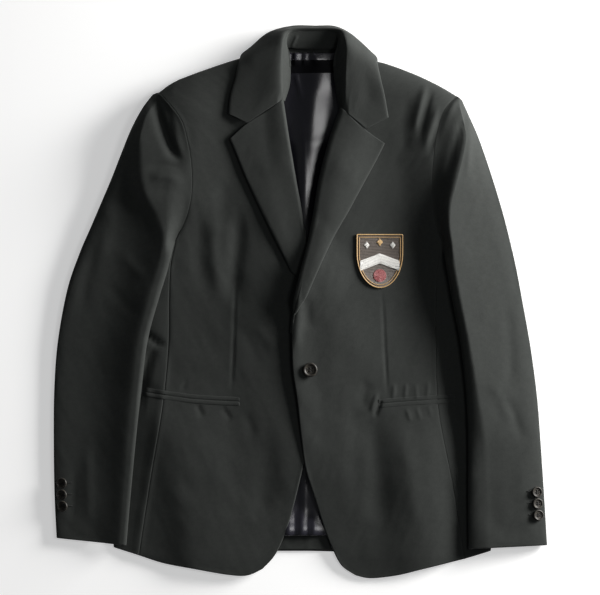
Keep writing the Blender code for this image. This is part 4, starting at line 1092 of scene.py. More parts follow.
def lapel_panels(finish):
    """Facings rolled back over the fronts."""
    shares, = shares_of("lapel")
    turns = np.radians(np.linspace(0, 180, 19))
    parts = np.linspace(0, 1, 35)[1:-1]
    for side in (-1, 1):
        base, edge, bend, aim, width = lapel_lines(side, shares)
        low = front_top(side, base[:, 0], base[:, 1]) - FRONT_WALL
        rest = np.maximum(width - bend, 1.0)
        grown = risen(shares, LAPEL_END)[:, None]
        spread = 1.0 + (ROLL_SPREAD[side] - 1.0) * grown
        roll = base[:, None] - aim[:, None] * (spread * bend[:, None] * np.sin(turns))[..., None]
        roll_z = low[:, None] + bend[:, None] * (1 - np.cos(turns))
        rim = np.array(RIM_STEPS[::-1]) / np.maximum(rest, LAPEL_LEAST_WIDTH)[:, None]
        inner = parts * np.minimum(1.0 - rim[:, :1], 1.0)
        leaf_parts = np.concatenate((inner, 1.0 - rim, np.ones_like(rim[:, :1])), axis=1)
        leaf = base[:, None] + aim[:, None] * (rest[:, None] * leaf_parts)[..., None]
        gorge = run([base[-1], *GORGES[side], edge[-1]], leaf_parts[-1]) - leaf[-1]
        last = len(LAPELS[side]["bend"]) - 1
        pull = np.clip(shares * last - last + 1, 0.0, 1.0)
        leaf = leaf + gorge[None] * pull[:, None, None]
        under = front_top(side, leaf[..., 0], leaf[..., 1])
        crest = (low + 2 * bend)[:, None]
        lifted = LAPEL_END_LIFT + (1.0 - LAPEL_END_LIFT) * grown
        top = under + (COLLAR_WALL + LAPEL_LIFT[side]) * lifted
        fall = soft_step(leaf_parts * rest[:, None] / LAPEL_FALL[side])
        sink = LAPEL_END_SINK * (1.0 - grown)
        swell = np.sin(np.pi * np.clip(leaf_parts, 0, 1))
        swell = swell * soft_step(rest / LAPEL_SWELL_WIDTH)[:, None]
        leaf_z = np.maximum(top, crest + (top - crest) * fall) + swell
        leaf_z = leaf_z + folds(LAPEL_FOLDS[side], leaf[..., 0], leaf[..., 1])
        grid = np.concatenate((np.dstack((roll, roll_z - sink)),
                               np.dstack((leaf, leaf_z - sink))), axis=1)
        sheet("lapel", side, grid, finish, (NO_ROLL, SOFT_ROLL, NO_ROLL, GORGE_SINK))


def side_panels(finish):
    """Side panels, wrapped round the folds at the body's sides."""
    along, = shares_of("side")
    angles = quarter_turn(15)[None]
    back_part = np.linspace(BACK_SEAM_INSET, FLOOR_FOLD_DEPTH, 16)[None, :-1]
    back_turn = angles[:, :0:-1]
    under_depth = np.concatenate((back_part, FLOOR_FOLD_DEPTH * (1 - np.cos(back_turn))), axis=1)
    flat = rimmed(*SIDE_FLAT_GRID, first=False)[None, 1:]
    for side in (-1, 1):
        seam = run(side_seam(side), along)
        seam_x, seam_y = seam[:, :1], seam[:, 1:]
        fold = side_column("fold", side, seam_y)
        mid = SIDE_MID_SHARE * body_height(seam_y)
        slant = hem_slant(seam_y)
        span = np.abs(fold - seam_x)
        reach = np.minimum(SIDE_REACH, span - SIDE_LEAST_FLAT)
        under_z = mid * (1 - np.concatenate((np.ones_like(back_part), np.sin(back_turn)), axis=1))
        under = np.dstack(np.broadcast_arrays(fold - side * under_depth, seam_y + slant, under_z))
        over_depth = np.concatenate((reach * (1 - np.cos(angles)), reach + (span - reach) * flat),
                                    axis=1)
        x = fold - side * over_depth
        y = seam_y + slant * (1 - over_depth / span)
        grid = np.concatenate((under, np.dstack((x, y, body_top(x, y)))), axis=1)
        sheet("side", side, grid, finish, (NO_ROLL, PANEL_SINK, EDGE_ROLL, NO_ROLL),
              outward=(side, 0, 0))


def back_panels(finish):
    """Half backs from the centre seam to the side panels and armholes."""
    along, across = shares_of("back")
    for side in (-1, 1):
        coarse = run(side_seam(side), np.linspace(0, 1, 12))
        inner_x = side_column("fold", side, coarse[:, 1]) - side * BACK_SEAM_INSET
        side_line = np.stack((inner_x, coarse[:, 1] + hem_slant(coarse[:, 1])), axis=1)
        side_line[-1, 1] += BACK_UNDERARM_RISE
        shared = armhole(side, "under")[-3:]
        outer = np.concatenate((side_line, [(side_line[-1] + shared[0]) / 2], shared))
        hem_middle = (outer[0] + CENTRE_BACK[0]) / 2 - (0, BACK_HEM_BOW)
        hem = run((outer[0], hem_middle, CENTRE_BACK[0]), across)
        neck_point = SHOULDERS[side][-1]
        bend_x = neck_point[0] * BACK_NECK_SHARE + CENTRE_BACK[1][0] * (1 - BACK_NECK_SHARE)
        neckline = (neck_point, (bend_x, BACK_NECK_Y), CENTRE_BACK[1])
        top = two_runs(SHOULDERS[side], neckline, BACK_WIDTH_SPLIT, across)
        outer_line = run(outer, along)
        outer_line[0], outer_line[-1] = hem[0], top[0]
        plan = coons(hem, top, outer_line, run(CENTRE_BACK, along), across, along)
        grid = np.dstack((plan, back_under(plan[..., 0], plan[..., 1])))
        sheet("back", side, grid, finish, (NO_ROLL, BACK_SEAM_SINK, NO_ROLL, NO_ROLL),
              outward=DOWN)


# --- sleeves ---

def sleeve_rest(side, x, y):
    """Height of what the under sleeve lies on: the floor, then the body's side."""
    inside = side * (side_column("fold", side, y) - x)
    outside, length = SLEEVE_CLIMB_FROM
    ramp = soft_step((inside + outside) / length) * (1 - risen(y, SLEEVE_CLIMB_UNTIL))
    height = body_height(y) + folds(BODY_FOLDS, x, y)
    return ramp * (height + SLEEVE_BODY_GAP)


def sleeve_panels(finish):
    """Two-piece sleeves lying over the body's sides and the floor beside them."""
    lower = rimmed(*SLEEVE_GRID, last=False) * ARMHOLE_ROW
    upper = np.linspace(ARMHOLE_ROW, len(SLEEVES[1]["edge"]) - 1, 92)[1:]
    places = np.concatenate((lower, upper))
    for side in (-1, 1):
        whole = spline(np.stack([SLEEVES[side][name] for name in SLEEVE_COLUMNS], axis=1), places)
        line = {name: whole[:, place:place + 1] for place, name in enumerate(SLEEVE_COLUMNS)}
        seam = risen(places, ARMHOLE_BLEND_FROM)[:, None]
        resting = SLEEVE_BODY_GAP + SLEEVE_FOLD_HALF
        ground = front_top(side, line["inner_x"], line["inner_y"])
        inner_z = ground + (resting + SLEEVE_SEAM_HALF) * (1 - seam)
        top = top_section(side, line, inner_z, seam)
        sheet("top_sleeve", side, top, finish, (
            SLEEVE_SEAM_SINK, (ARMHOLE_SINK * seam, SEAM_SINK[1]), EDGE_ROLL, NO_ROLL))
        start_z = UNDERARM_SHARE * body_top(line["under_x"], line["under_y"])
        floor_z = back_under(line["under_x"], line["under_y"])
        drop = risen(places - ARMHOLE_ROW, UNDERARM_DROP_FROM)[:, None]
        seam_z = start_z + (floor_z - start_z) * drop
        under_z = (inner_z - 2 * SLEEVE_SEAM_HALF) * (1 - seam) + seam_z * seam
        under = beneath(under_section(side, line, under_z), top)
        sheet("under_sleeve", side, under, finish,
              (SLEEVE_SEAM_SINK, NO_ROLL, EDGE_ROLL, NO_ROLL), outward=DOWN)


def filled(start, end, count):
    """Columns of a section: those of its two ends and evenly spaced ones between them."""
    share = np.linspace(0, 1, count)[None, 1:-1]
    return np.concatenate((start, start[:, -1:] + (end[:, :1] - start[:, -1:]) * share, end),
                          axis=1)


def sleeve_ends(line, inner_edge):
    """Outer fold, way across to the inner edge and its width, for each section of a sleeve."""
    outer = np.dstack((line["outer_x"], line["outer_y"]))
    across = np.dstack((line[inner_edge + "_x"], line[inner_edge + "_y"])) - outer
    return outer, across, np.linalg.norm(across, axis=-1)


def top_section(side, line, inner_z, seam):
    """Sections of a top sleeve from the outer fold over the crest to the inner side."""
    outer, across, width = sleeve_ends(line, "inner")
    reach = np.minimum(SLEEVE_EDGE_REACH[side], SLEEVE_EDGE_SHARE * width)
    roll = np.minimum(line["roll"], SLEEVE_ROLL_SHARE * width)
    angles = quarter_turn(SLEEVE_TURN_POINTS)[None]
    start = reach * (1 - np.cos(angles))
    end = width - roll * (1 - np.cos(angles[:, ::-1]))
    distance = filled(start, end, 42)
    part = distance / width
    plan = outer + across * part[..., None]
    climb = (part - line["climb_from"]) / (line["climb_to"] - line["climb_from"])
    climb = np.clip(climb, 0.0, 1.0) ** SLEEVE_RAMP_POWER[side]
    lean = SLEEVE_RAMP_LEAN[side]
    climb = (1 - lean) * climb + lean * np.minimum(part / line["climb_to"], 1.0)
    plateau = line["shelf"] + (line["crest"] - line["shelf"]) * climb
    floor = (line["edge"] + SLEEVE_SEAM_HALF) * (1 - climb) + inner_z * climb
    sewn = soft_step((width - distance) / roll)
    share = pillow(distance, reach) * (pillow(width - distance, roll) * (1 - seam) + sewn * seam)
    z = floor + (plateau - floor) * share
    level = slice(SLEEVE_TURN_POINTS, -SLEEVE_TURN_POINTS)
    z[:, level] = softened(z[:, level], SLEEVE_ROUNDING)
    z = z + share * folds(SLEEVE_FOLDS[side], plan[..., 0], plan[..., 1])
    return np.dstack((plan, z))


def beneath(under, top):
    """The under section, kept below the top section of the same row."""
    start, end, _, _ = spans(under)
    near = soft_step(np.minimum(start, end) / SLEEVE_UNDER_REACH)
    for row, cover, share in zip(under, top, near):
        order = np.argsort(cover[:, 0])
        limit = np.interp(row[:, 0], cover[order, 0], cover[order, 2]) - SLEEVE_LAYERS * share
        row[:, 2] = np.minimum(row[:, 2], np.maximum(limit, 0.0))
    return under


def under_section(side, line, inner_z):
    """Sections of an under sleeve, down to the floor and up over the body's side."""
    outer, across, width = sleeve_ends(line, "under")
    reach = np.minimum(SLEEVE_UNDER_REACH, SLEEVE_UNDER_SHARE * width)
    start = reach * (1 - np.cos(quarter_turn(9)[None]))
    distance = filled(start, width - start[:, ::-1], 26)
    plan = outer + across * (distance / width)[..., None]
    rest = sleeve_rest(side, plan[..., 0], plan[..., 1])
    edge = line["edge"] - SLEEVE_SEAM_HALF
    z = (rest + (edge - rest) * (1 - pillow(distance, reach))
         + (inner_z - rest) * (1 - pillow(width - distance, reach)))
    return np.dstack((plan, z))


# --- collar ---

def collar_panels(finish):
    """The leaf, folded over at the roll, and the stand that shows inside the neck."""
    length, width = GRIDS["collar_leaf"]
    shares = rimmed(*length)
    places = shares * (len(LEAF_ROWS) - 1)
    lines = np.stack([spline(LEAF[name], places) for name in LEAF_COLUMNS], axis=1)
    cross = rimmed(*width, first=False) * (len(LEAF_COLUMNS) - 1)
    grid = np.array([spline(points, cross) for points in lines])
    low = np.floor(cross).astype(int).clip(0, len(LEAF_COLUMNS) - 2)
    straight = lines[:, low] + (lines[:, low + 1] - lines[:, low]) * (cross - low)[:, None]
    ends = np.minimum(shares, 1 - shares) * length[0] / LEAF_END_REACH
    grid = grid + (straight - grid) * (1 - soft_step(ends))[:, None, None]
    grid[..., 2] += folds(COLLAR_FOLDS, grid[..., 0], grid[..., 1])
    sheet("collar_leaf", 0, grid, finish, (NO_ROLL, SOFT_ROLL, GORGE_SINK, GORGE_SINK))
    places = np.linspace(0, len(STAND_SEAM) - 1, 150)
    start = spline(LEAF["start"], places + STAND_FIRST_ROW)
    seam = spline(STAND_SEAM, places)
    stand = start[:, None] + (seam - start)[:, None] * np.linspace(0, 1, 22)[None, :, None]
    stand[..., 2] += folds(STAND_FOLDS, stand[..., 0], stand[..., 1])
    sheet("collar_stand", 0, stand, finish, (NO_ROLL, STAND_ROLL, NO_ROLL, NO_ROLL))


# --- lining, hem, label ---

def lining_height(x, y):
    """Height of the lining's face."""
    z = back_under(x, y) + SHELL_WALL + LINING_LIFT + LINING_WALL
    z = z + LINING_NECK_LIFT * risen(y, LINING_LIFT_FROM)
    fall = HEM_PLEAT_RISE * np.exp(-((y - HEM_PLEAT_Y) / HEM_PLEAT_HALF) ** 2)
    return z + folds(LINING_FOLDS, x, y) + folds(LINING_SWELLS, x, y) + fall


def lining_panels(satin, cloth, label):
    """Back lining, the cloth turned up inside the back hem, and the blank neck label."""
    along, across = shares_of("lining_back")
    y = LINING["y"][0] + (LINING["y"][-1] - LINING["y"][0]) * along[:, None]
    right = np.interp(y, LINING["y"], LINING["right_x"])
    left = np.interp(y, LINING["y"], LINING["left_x"])
    x, y = np.broadcast_arrays(right + (left - right) * across, y)
    sheet("lining_back", 0, np.dstack((x, y, lining_height(x, y))), satin,
          (NO_ROLL, NO_ROLL, LINING_HEM_ROLL, LINING_NECK_SINK))
    along, across = shares_of("back_facing")
    low, high = HEM_STRIP
    right, left = LINING["right_x"][0], LINING["left_x"][0]
    x, y = np.broadcast_arrays(right + (left - right) * across,
                               low + (high - low) * along[:, None])
    z = SHELL_WALL + LINING_LIFT + LINING_WALL + folds(HEM_FOLDS, x, y)
    sheet("back_facing", 0, np.dstack((x, y, z)), cloth, (NO_ROLL, NO_ROLL, EDGE_ROLL, NO_ROLL))
    along, across = shares_of("neck_label")
    (width, height), (middle_x, middle_y) = LABEL_SIZE, LABEL_PLACE
    x, y = np.broadcast_arrays(middle_x + width * (across - 0.5),
                               middle_y + height * (along[:, None] - 0.5))
    wave = LABEL_WAVE * np.sin((x - middle_x) / LABEL_WAVE_LENGTH) ** 2
    sheet("neck_label", 0, np.dstack((x, y, lining_height(x, y) + LABEL_LIFT + wave)), label,
          (LABEL_EDGE,) * 4)


# --- pockets and badge ---

def pocket_jets(finish):
    """Double jets of the two pockets, narrow strips laid on the fronts."""
    shares, = shares_of("jet")
    place = half_turn(13)[None]
    lift = JET_RISE + JET_CROWN * dome(place)
    for side in (-1, 1):
        for word, offset in (("upper", JET_SPACING / 2), ("lower", -JET_SPACING / 2)):
            middle = run(np.array(JETS[side], float) + (0.0, offset), shares)
            grid = on_front(side, middle[:, :1], middle[:, 1:] + JET_HALF * place, lift)
            sheet("jet_" + word, side, grid, finish, (NO_ROLL, NO_ROLL, JET_EDGE, JET_EDGE))


def round_thread(name, lines, radius, finish, slot, *nodes, closed=False, facets=3):
    """Round cord or thread laid along lines of points."""
    curve = bpy.data.curves.new(name, "CURVE")
    curve.dimensions = "3D"
    curve.bevel_depth = radius * MM
    curve.bevel_resolution = facets
    for points in lines:
        line = curve.splines.new("POLY")
        line.points.add(len(points) - 1)
        line.use_cyclic_u = closed
        for point, place in zip(line.points, world(points)):
            point.co = (*place, 1.0)
    place_piece(name, curve, finish, slot, *nodes)


def shield(across, down, scale=1.0):
    """Points of a plain shield: across from -1 to 1, down from 0 at the top to 1 at the tip."""
    width, height = BADGE_SIZE
    below = np.maximum(down - BADGE_STRAIGHT, 0.0) / (1.0 - BADGE_STRAIGHT)
    taper = np.maximum(dome(below), BADGE_TIP)
    x = BADGE_CENTRE[0] + scale * across * (width / 2) * taper
    y = BADGE_CENTRE[1] + scale * height * (0.5 - down)
    return x, y


def badge_cord(name, loop, radius, finish, *nodes):
    """A round cord laid along a closed loop on the badge."""
    line = on_front(1, *loop, BADGE_FACE + radius * CORD_SHOWING)
    round_thread(name, [line], radius, finish, "badge_thread", *nodes, closed=True)


def badge_pieces(ground, border, band, motif):
    """A plain cloth shield with a corded edge, one chevron and small worked motifs."""
    down, across = shares_of("badge_ground")
    across = 2.0 * across[None] - 1.0
    sheet("badge_ground", 0, on_front(1, *shield(across, down[:, None]), BADGE_LIFT), ground,
          (BADGE_EDGE,) * 4)
    reach = BADGE_BAND_REACH * across
    x, y = shield(reach, BADGE_BAND_DOWN)
    place = half_turn(15)[:, None]
    y = y - BADGE_BAND_POINT * np.abs(reach) + BADGE_BAND_HALF * place
    lift = BADGE_FACE + BADGE_BAND_LIFT + BADGE_BAND_CROWN * dome(place)
    sheet("badge_band", 0, on_front(1, x, y, lift), band, (NO_ROLL,) * 4)
    turn = np.linspace(0, 1, 90)
    top = np.linspace(-1, 1, 60)[1:-1]
    across = np.concatenate((np.ones_like(turn), -np.ones_like(turn), top))
    down = np.concatenate((turn, turn[::-1], np.zeros_like(top)))
    loop = shield(across, down, BADGE_CORD_SCALE)
    badge_cord("badge_border_cord", loop, BADGE_CORD / 2, border, "badge_border")
    inner = [middle + (line - middle) * BADGE_INNER_SCALE
             for middle, line in zip(BADGE_CENTRE, loop)]
    badge_cord("badge_inner_cord", inner, BADGE_INNER_CORD / 2, border)
    threads = {"gold": border, "pale": band, "red": motif}
    for place, (x, y, wide, high, corners, word) in enumerate(BADGE_MOTIFS):
        raised_patch("badge_motif_" + str(place), (x, y), (wide, high), corners, threads[word])


def raised_patch(name, centre, size, corners, finish):
    """A small domed patch of satin stitch: a diamond with 4 corners or a disc with none."""
    rings = np.sin(quarter_turn(14))[:, None]
    angle = np.linspace(0, 2 * math.pi, 49)[None]
    reach = np.ones_like(angle)
    if corners:
        reach = 1.0 / (np.abs(np.cos(angle)) + np.abs(np.sin(angle)))
    x = centre[0] + size[0] / 2 * rings * reach * np.cos(angle)
    y = centre[1] + size[1] / 2 * rings * reach * np.sin(angle)
    lift = BADGE_FACE + MOTIF_LIFT + MOTIF_CROWN * dome(rings)
    mesh = cloth_mesh(name, on_front(1, x, y, lift), UP)
    weld(mesh)
    place_piece(name, mesh, finish, "badge_thread")


def weld(mesh):
    """Join the points of a mesh that lie on each other."""
    work = bmesh.new()
    work.from_mesh(mesh)
    bmesh.ops.remove_doubles(work, verts=work.verts, dist=2e-6)
    bmesh.ops.recalc_face_normals(work, faces=work.faces)
    work.to_mesh(mesh)
    work.free()
    mesh.shade_smooth()


# --- buttons and buttonholes ---

def tilted(x, y, z, tilt):
    """Points of a button turned about the line along its middle."""
    x, y, z = np.broadcast_arrays(x, y, z)
    return np.stack((x * math.cos(tilt) + z * math.sin(tilt), y,
                     z * math.cos(tilt) - x * math.sin(tilt)), axis=-1)


def button(node, place, diameter, tilt, horn, thread):
    """A dished button with a raised rim, four eyes and the thread through them."""
    radius = diameter / 2
    dish = BUTTON_PROFILE[0][1]
    inner = np.linspace(0.0, DISH_REACH, DISH_POINTS)
    outer = spline(BUTTON_PROFILE, np.linspace(0, len(BUTTON_PROFILE) - 1, 30))
    reach = np.concatenate((inner, outer[:, 0]))[:, None]
    height = np.concatenate((np.full(DISH_POINTS, dish), outer[:, 1]))[:, None]
    angle = np.linspace(0, 2 * math.pi, 73)[None]
    x = radius * reach * np.cos(angle)
    y = radius * reach * np.sin(angle)
    z = BUTTON_THICKNESS * height
    eye = EYE_PLACE * radius
    top = np.arange(len(reach))[:, None] < DISH_POINTS + 2
    for eye_x in (-eye, eye):
        for eye_y in (-eye, eye):
            gap = np.hypot(x - eye_x, y - eye_y) - EYE_SIZE * diameter
            z = z - np.where(top, EYE_DEPTH * (1 - soft_step(gap / EYE_SOFTNESS)), 0.0)
    mesh = cloth_mesh(node + "_turned", tilted(x, y, z, tilt) + place, UP)
    weld(mesh)
    place_piece(node + "_turned", mesh, horn, "button_horn", node)
    share = np.linspace(-1, 1, 11)
    arch = BUTTON_THICKNESS * dish - THREAD_SINK + THREAD_ARCH * (1 - share ** 4)
    strands = [tilted(eye * share, eye_y + shift, arch, tilt) + place
               for eye_y in (-eye, eye) for shift in (-THREAD_APART, THREAD_APART)]
    round_thread(node + "_thread", strands, THREAD_RADIUS, thread, "button_horn", facets=2)


def face_height(node, x, y):
    """Height of a panel's own face at a point, from the nearest of its grid points."""
    grid = CUTS[node][1].reshape(-1, 3)
    nearest = np.hypot(grid[:, 0] - x, grid[:, 1] - y).argsort()[:NEAREST_POINTS]
    return float(grid[nearest, 2].mean())


def sew_buttons(horn, thread, buttonhole):
    """Lay the front button and the cuff buttons on the cloth under them."""
    x, y = FRONT_BUTTON_PLACE
    steps = (-FRONT_BUTTON_FOOT, 0, FRONT_BUTTON_FOOT)
    ground = max(face_height("front_left", x + dx, y + dy) for dx in steps for dy in steps)
    button("front_button", np.array((x, y, ground + LAYER_GAP)), FRONT_BUTTON_DIAMETER, 0.0,
           horn, thread)
    for side, word in SIDE_NAMES.items():
        for number, (x, y) in enumerate(CUFF_BUTTONS[side], 1):
            ground = face_height("top_sleeve_" + word, x, y)
            place = np.array((x, y, ground + CUFF_BUTTON_GAP))
            button("cuff_button_" + word + "_" + str(number), place, CUFF_BUTTON_DIAMETER,
                   side * CUFF_BUTTON_TILT, horn, thread)
        buttonholes(side, buttonhole)


def buttonholes(side, finish):
    """Worked bars of the cuff's buttonholes, just inside the buttons."""
    node = "top_sleeve_" + SIDE_NAMES[side]
    bars = []
    for x, y in CUFF_BUTTONS[side]:
        plan = [(x - side * step, y + BAR_SHIFT) for step in np.linspace(*BAR_SPAN, 7)]
        bars.append([(*spot, face_height(node, *spot) + BAR_LIFT) for spot in plan])
    round_thread("cuff_buttonholes_" + SIDE_NAMES[side], bars, BAR_RADIUS, finish,
                 "jacket_cloth")


# --- finishes ---

class Shade:
    """A socket of one finish's tree that Python's own operators can work on."""

    def __init__(self, finish, socket):
        self.finish = finish
        self.socket = socket

    def maths(self, operation, first, second):
        """One step of arithmetic as a node."""
        return self.finish.node("ShaderNodeMath", {"operation": operation}, {0: first, 1: second})

    def __add__(self, other):
        return self.maths("ADD", self, other)

    def __sub__(self, other):
        return self.maths("SUBTRACT", self, other)

    def __rsub__(self, other):
        return self.maths("SUBTRACT", other, self)

    def __mul__(self, other):
        return self.maths("MULTIPLY", self, other)

    def __radd__(self, other):
        return self.maths("ADD", other, self)

    def __rmul__(self, other):
        return self.maths("MULTIPLY", other, self)


class Finish:
    """A material and the nodes that make it."""

    def __init__(self, name):
        self.material = bpy.data.materials.new(name)
        self.material.use_nodes = True
        self.tree = self.material.node_tree
        self.shader = self.tree.nodes["Principled BSDF"]

    def feed(self, socket, value):
        """Link a shade to a socket, or set a constant on it."""
        if isinstance(value, Shade):
            self.tree.links.new(value.socket, socket)
        else:
            socket.default_value = value

    def node(self, kind, settings=None, inputs=None, output=0):
        """Any node: its settings first, then the values or links of its sockets."""
        made = self.tree.nodes.new(kind)
        for name, value in (settings or {}).items():
            if name == "stops":
                ramp = made.color_ramp
                for place, (position, colour) in enumerate(value):
                    stop = ramp.elements[place] if place < 2 else ramp.elements.new(position)
                    stop.position, stop.color = position, (*colour, 1.0)
            else:
                setattr(made, name, value)
        for socket, value in (inputs or {}).items():
            self.feed(made.inputs[socket], value)
        return Shade(self, made.outputs[output])

    def grain(self):
        """The cloth's own lengths: across, along and how far in from a rim."""
        held = self.node("ShaderNodeAttribute", {"attribute_name": "grain"}, output=1)
        parts = [self.node("ShaderNodeSeparateXYZ", inputs={0: held}, output=place)
                 for place in (0, 1, 2)]
        return held, parts

    def noise(self, place, scale, detail=2.0):
        """Soft random mottle; the scale counts its lumps in a metre."""
        return self.node("ShaderNodeTexNoise",
                         inputs={"Vector": place, "Scale": scale, "Detail": detail})

    def blend(self, share, first, second):
        """A colour between two colours."""
        return self.node("ShaderNodeMix", {"data_type": "RGBA"},
                         {0: share, 6: (*first, 1.0), 7: (*second, 1.0)}, output=2)

    def wave(self, value, pitch):
        """Rises and falls between 0 and 1 once in each pitch, in metres."""
        turn = value * (2 * math.pi / pitch)
        return self.node("ShaderNodeMath", {"operation": "SINE"}, {0: turn}) * 0.5 + 0.5

    def set(self, tone, roughness, height=None, bump=None, **constants):
        """Give the shader its colour, roughness, bump and constants."""
        self.feed(self.shader.inputs["Base Color"], tone)
        self.feed(self.shader.inputs["Roughness"], roughness)
        for name, value in constants.items():
            self.shader.inputs[name.replace("_", " ")].default_value = value
        if height is not None:
            strength, distance = bump
            normal = self.node("ShaderNodeBump", inputs={
                "Strength": strength, "Distance": distance, "Height": height})
            self.feed(self.shader.inputs["Normal"], normal)
        return self.material


def twill_finish(name, dark, light):
    """Wool twill: a fine diagonal rib, a soft mottle, fibres and a little wear along the rims."""
    finish = Finish(name)
    held, (across, along, rim) = finish.grain()
    rib = finish.wave(across + along * 0.7, TWILL_PITCH)
    cross = finish.wave(along - across * 0.25, TWILL_PITCH * 0.55)
    cloud = finish.noise(held, 26.0)
    fibre = finish.noise(held, 2600.0)
    fleck = finish.noise(held, 480.0, 3.0)
    patch = finish.noise(held, 150.0)
    share = 0.2 * cloud + 0.3 * patch + 0.1 * rib + 0.1 * fibre + 0.3 * fleck + (1 - rim) * 0.1
    height = 0.7 * rib + 0.25 * cross + 0.35 * fibre + 1.5 * fleck + 2.0 * patch
    return finish.set(finish.blend(share, dark, light), 0.8 + 0.12 * cloud, height,
                      (0.32, 0.00012), Specular_IOR_Level=0.22, Sheen_Weight=0.06,
                      Sheen_Roughness=0.45)


def satin_finish(name, dark, light, roughness, gloss):
    """Satin with long floats, so it glosses, and a faint line of weave."""
    finish = Finish(name)
    held, (across, along, _) = finish.grain()
    float_line = finish.wave(across + along * 0.06, SATIN_PITCH)
    cloud = finish.noise(held, 34.0)
    slub = finish.noise(held, 900.0)
    tone = finish.blend(0.6 * cloud + 0.25 * slub + 0.1 * float_line, dark, light)
    height = 0.5 * float_line + 0.4 * slub
    return finish.set(tone, roughness + 0.1 * cloud, height, (0.15, 0.00008),
                      Specular_IOR_Level=gloss, Sheen_Weight=0.1, Sheen_Roughness=0.3)


def stitched_finish(name, dark, light, pitch=STITCH_PITCH):
    """Embroidery: rows of parallel thread with light and dark strands."""
    finish = Finish(name)
    held, (across, along, _) = finish.grain()
    strand = finish.wave(across + along * 0.35, pitch)
    row = finish.wave(along - across * 0.1, STITCH_ROW)
    uneven = finish.noise(held, 420.0)
    tone = finish.blend(0.45 * strand + 0.2 * row + 0.4 * uneven, dark, light)
    height = 0.8 * strand + 0.35 * row + 0.2 * uneven
    return finish.set(tone, 0.45 + 0.1 * uneven, height, (0.7, 0.0003),
                      Specular_IOR_Level=0.4, Sheen_Weight=0.1, Sheen_Roughness=0.3)


def horn_finish(name):
    """Polished brown horn with darker streaks and a few scratches."""
    finish = Finish(name)
    place = finish.node("ShaderNodeTexCoord", output=3)
    drawn = finish.node("ShaderNodeMapping", inputs={0: place, "Scale": (1.0, 4.0, 1.0)})
    streak = finish.noise(drawn, 160.0, 4.0)
    scratch = finish.noise(place, 1500.0)
    tone = finish.node("ShaderNodeValToRGB", {"stops": HORN_STOPS}, {0: streak})
    return finish.set(tone, 0.42 + 0.16 * scratch, scratch, (0.08, 0.00005),
                      Specular_IOR_Level=0.35, Coat_Weight=0.08, Coat_Roughness=0.25)


def thread_finish(name, dark, light):
    """Twisted sewing thread."""
    finish = Finish(name)
    place = finish.node("ShaderNodeTexCoord", output=3)
    across, along = (finish.node("ShaderNodeSeparateXYZ", inputs={0: place}, output=axis)
                     for axis in (0, 1))
    twist = finish.wave(across + along * 0.8, THREAD_PITCH)
    fuzz = finish.noise(place, 1800.0)
    return finish.set(finish.blend(0.6 * twist + 0.4 * fuzz, dark, light), 0.6 + 0.2 * fuzz,
                      twist, (0.5, 0.0002), Specular_IOR_Level=0.3)


# --- stage ---

def link_thing(name, data, place):
    """A lamp, lens or floor put into the scene at its place."""
    thing = bpy.data.objects.new(name, data)
    thing.location = place
    bpy.context.scene.collection.objects.link(thing)
    return thing


def soft_light(name, place, size, power, tone=(1.0, 1.0, 1.0)):
    """A square lamp that shines on the middle of the jacket."""
    lamp = bpy.data.lights.new(name, "AREA")
    lamp.shape = "RECTANGLE"
    lamp.size, lamp.size_y = size
    lamp.energy = power
    lamp.color = tone
    light = link_thing(name, lamp, place)
    light.rotation_euler = (Vector() - Vector(place)).to_track_quat("-Z", "Y").to_euler()


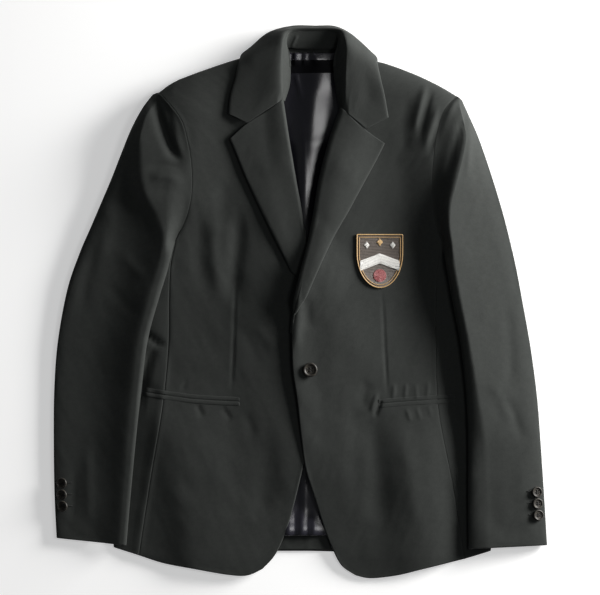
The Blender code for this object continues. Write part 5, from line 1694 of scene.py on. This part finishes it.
def set_stage():
    """A pale floor, a low key from beyond the left shoulder, a weak fill and the camera."""
    finish = Finish("pale_floor")
    cloud = finish.noise(finish.node("ShaderNodeTexCoord", output=3), 3.0)
    finish.set(finish.blend(cloud, FLOOR_DARK, FLOOR_LIGHT), 0.9 + 0.05 * cloud,
               Specular_IOR_Level=0.1, Emission_Strength=FLOOR_GLOW)
    finish.shader.inputs["Emission Color"].default_value = (1.0, 1.0, 1.0, 1.0)
    mesh = bpy.data.meshes.new("floor")
    work = bmesh.new()
    bmesh.ops.create_grid(work, x_segments=8, y_segments=8, size=FLOOR_SIZE)
    work.to_mesh(mesh)
    work.free()
    mesh.materials.append(finish.material)
    link_thing("floor", mesh, (0.0, 0.0, FLOOR_Z))
    soft_light("key_light", KEY_PLACE, KEY_SIZE, KEY_POWER, KEY_TONE)
    soft_light("fill_light", FILL_PLACE, FILL_SIZE, FILL_POWER)
    studio = bpy.data.worlds.new("studio")
    studio.use_nodes = True
    shade = studio.node_tree.nodes["Background"]
    shade.inputs["Color"].default_value = AMBIENT_TONE
    shade.inputs["Strength"].default_value = AMBIENT
    scene = bpy.context.scene
    scene.world = studio
    lens = bpy.data.cameras.new("camera")
    lens.lens = CAMERA_LENS
    lens.clip_end = CAMERA_REACH
    scene.camera = link_thing("camera", lens, CAMERA_PLACE)
    scene.view_settings.view_transform = "Standard"


def tailor():
    """Make the finishes, lay every piece and measure each sheet of LAYERS, whose sizes are not
    passed on.
    """
    cloth = twill_finish("jacket_twill", (0.012, 0.0135, 0.0125), (0.044, 0.048, 0.045))
    satin = satin_finish("lining_satin_weave", (0.008, 0.0075, 0.012), (0.026, 0.025, 0.037),
                         0.2, 1.0)
    label = satin_finish("label_satin_weave", (0.002, 0.002, 0.003), (0.006, 0.006, 0.008),
                         0.5, 0.1)
    horn = horn_finish("button_horn_polish")
    thread = thread_finish("button_sewing_thread", (0.008, 0.008, 0.008), (0.03, 0.03, 0.03))
    bar = thread_finish("buttonhole_twist", (0.012, 0.013, 0.012), (0.05, 0.052, 0.05))
    ground = stitched_finish("badge_ground_stitch", (0.035, 0.031, 0.027), (0.17, 0.14, 0.12),
                             BADGE_GROUND_PITCH)
    gold = stitched_finish("badge_gold_thread", (0.30, 0.18, 0.07), (0.75, 0.50, 0.24))
    pale = stitched_finish("badge_pale_thread", (0.45, 0.44, 0.42), (0.85, 0.84, 0.80))
    red = stitched_finish("badge_red_thread", (0.20, 0.05, 0.055), (0.42, 0.14, 0.14))
    for lay in (back_panels, side_panels, front_panels, lapel_panels, sleeve_panels,
                collar_panels):
        lay(cloth)
    lining_panels(satin, cloth, label)
    pocket_jets(cloth)
    badge_pieces(ground, gold, pale, red)
    sew_buttons(horn, thread, bar)
    for row in LAYERS:
        declare(*row)


set_stage()
tailor()
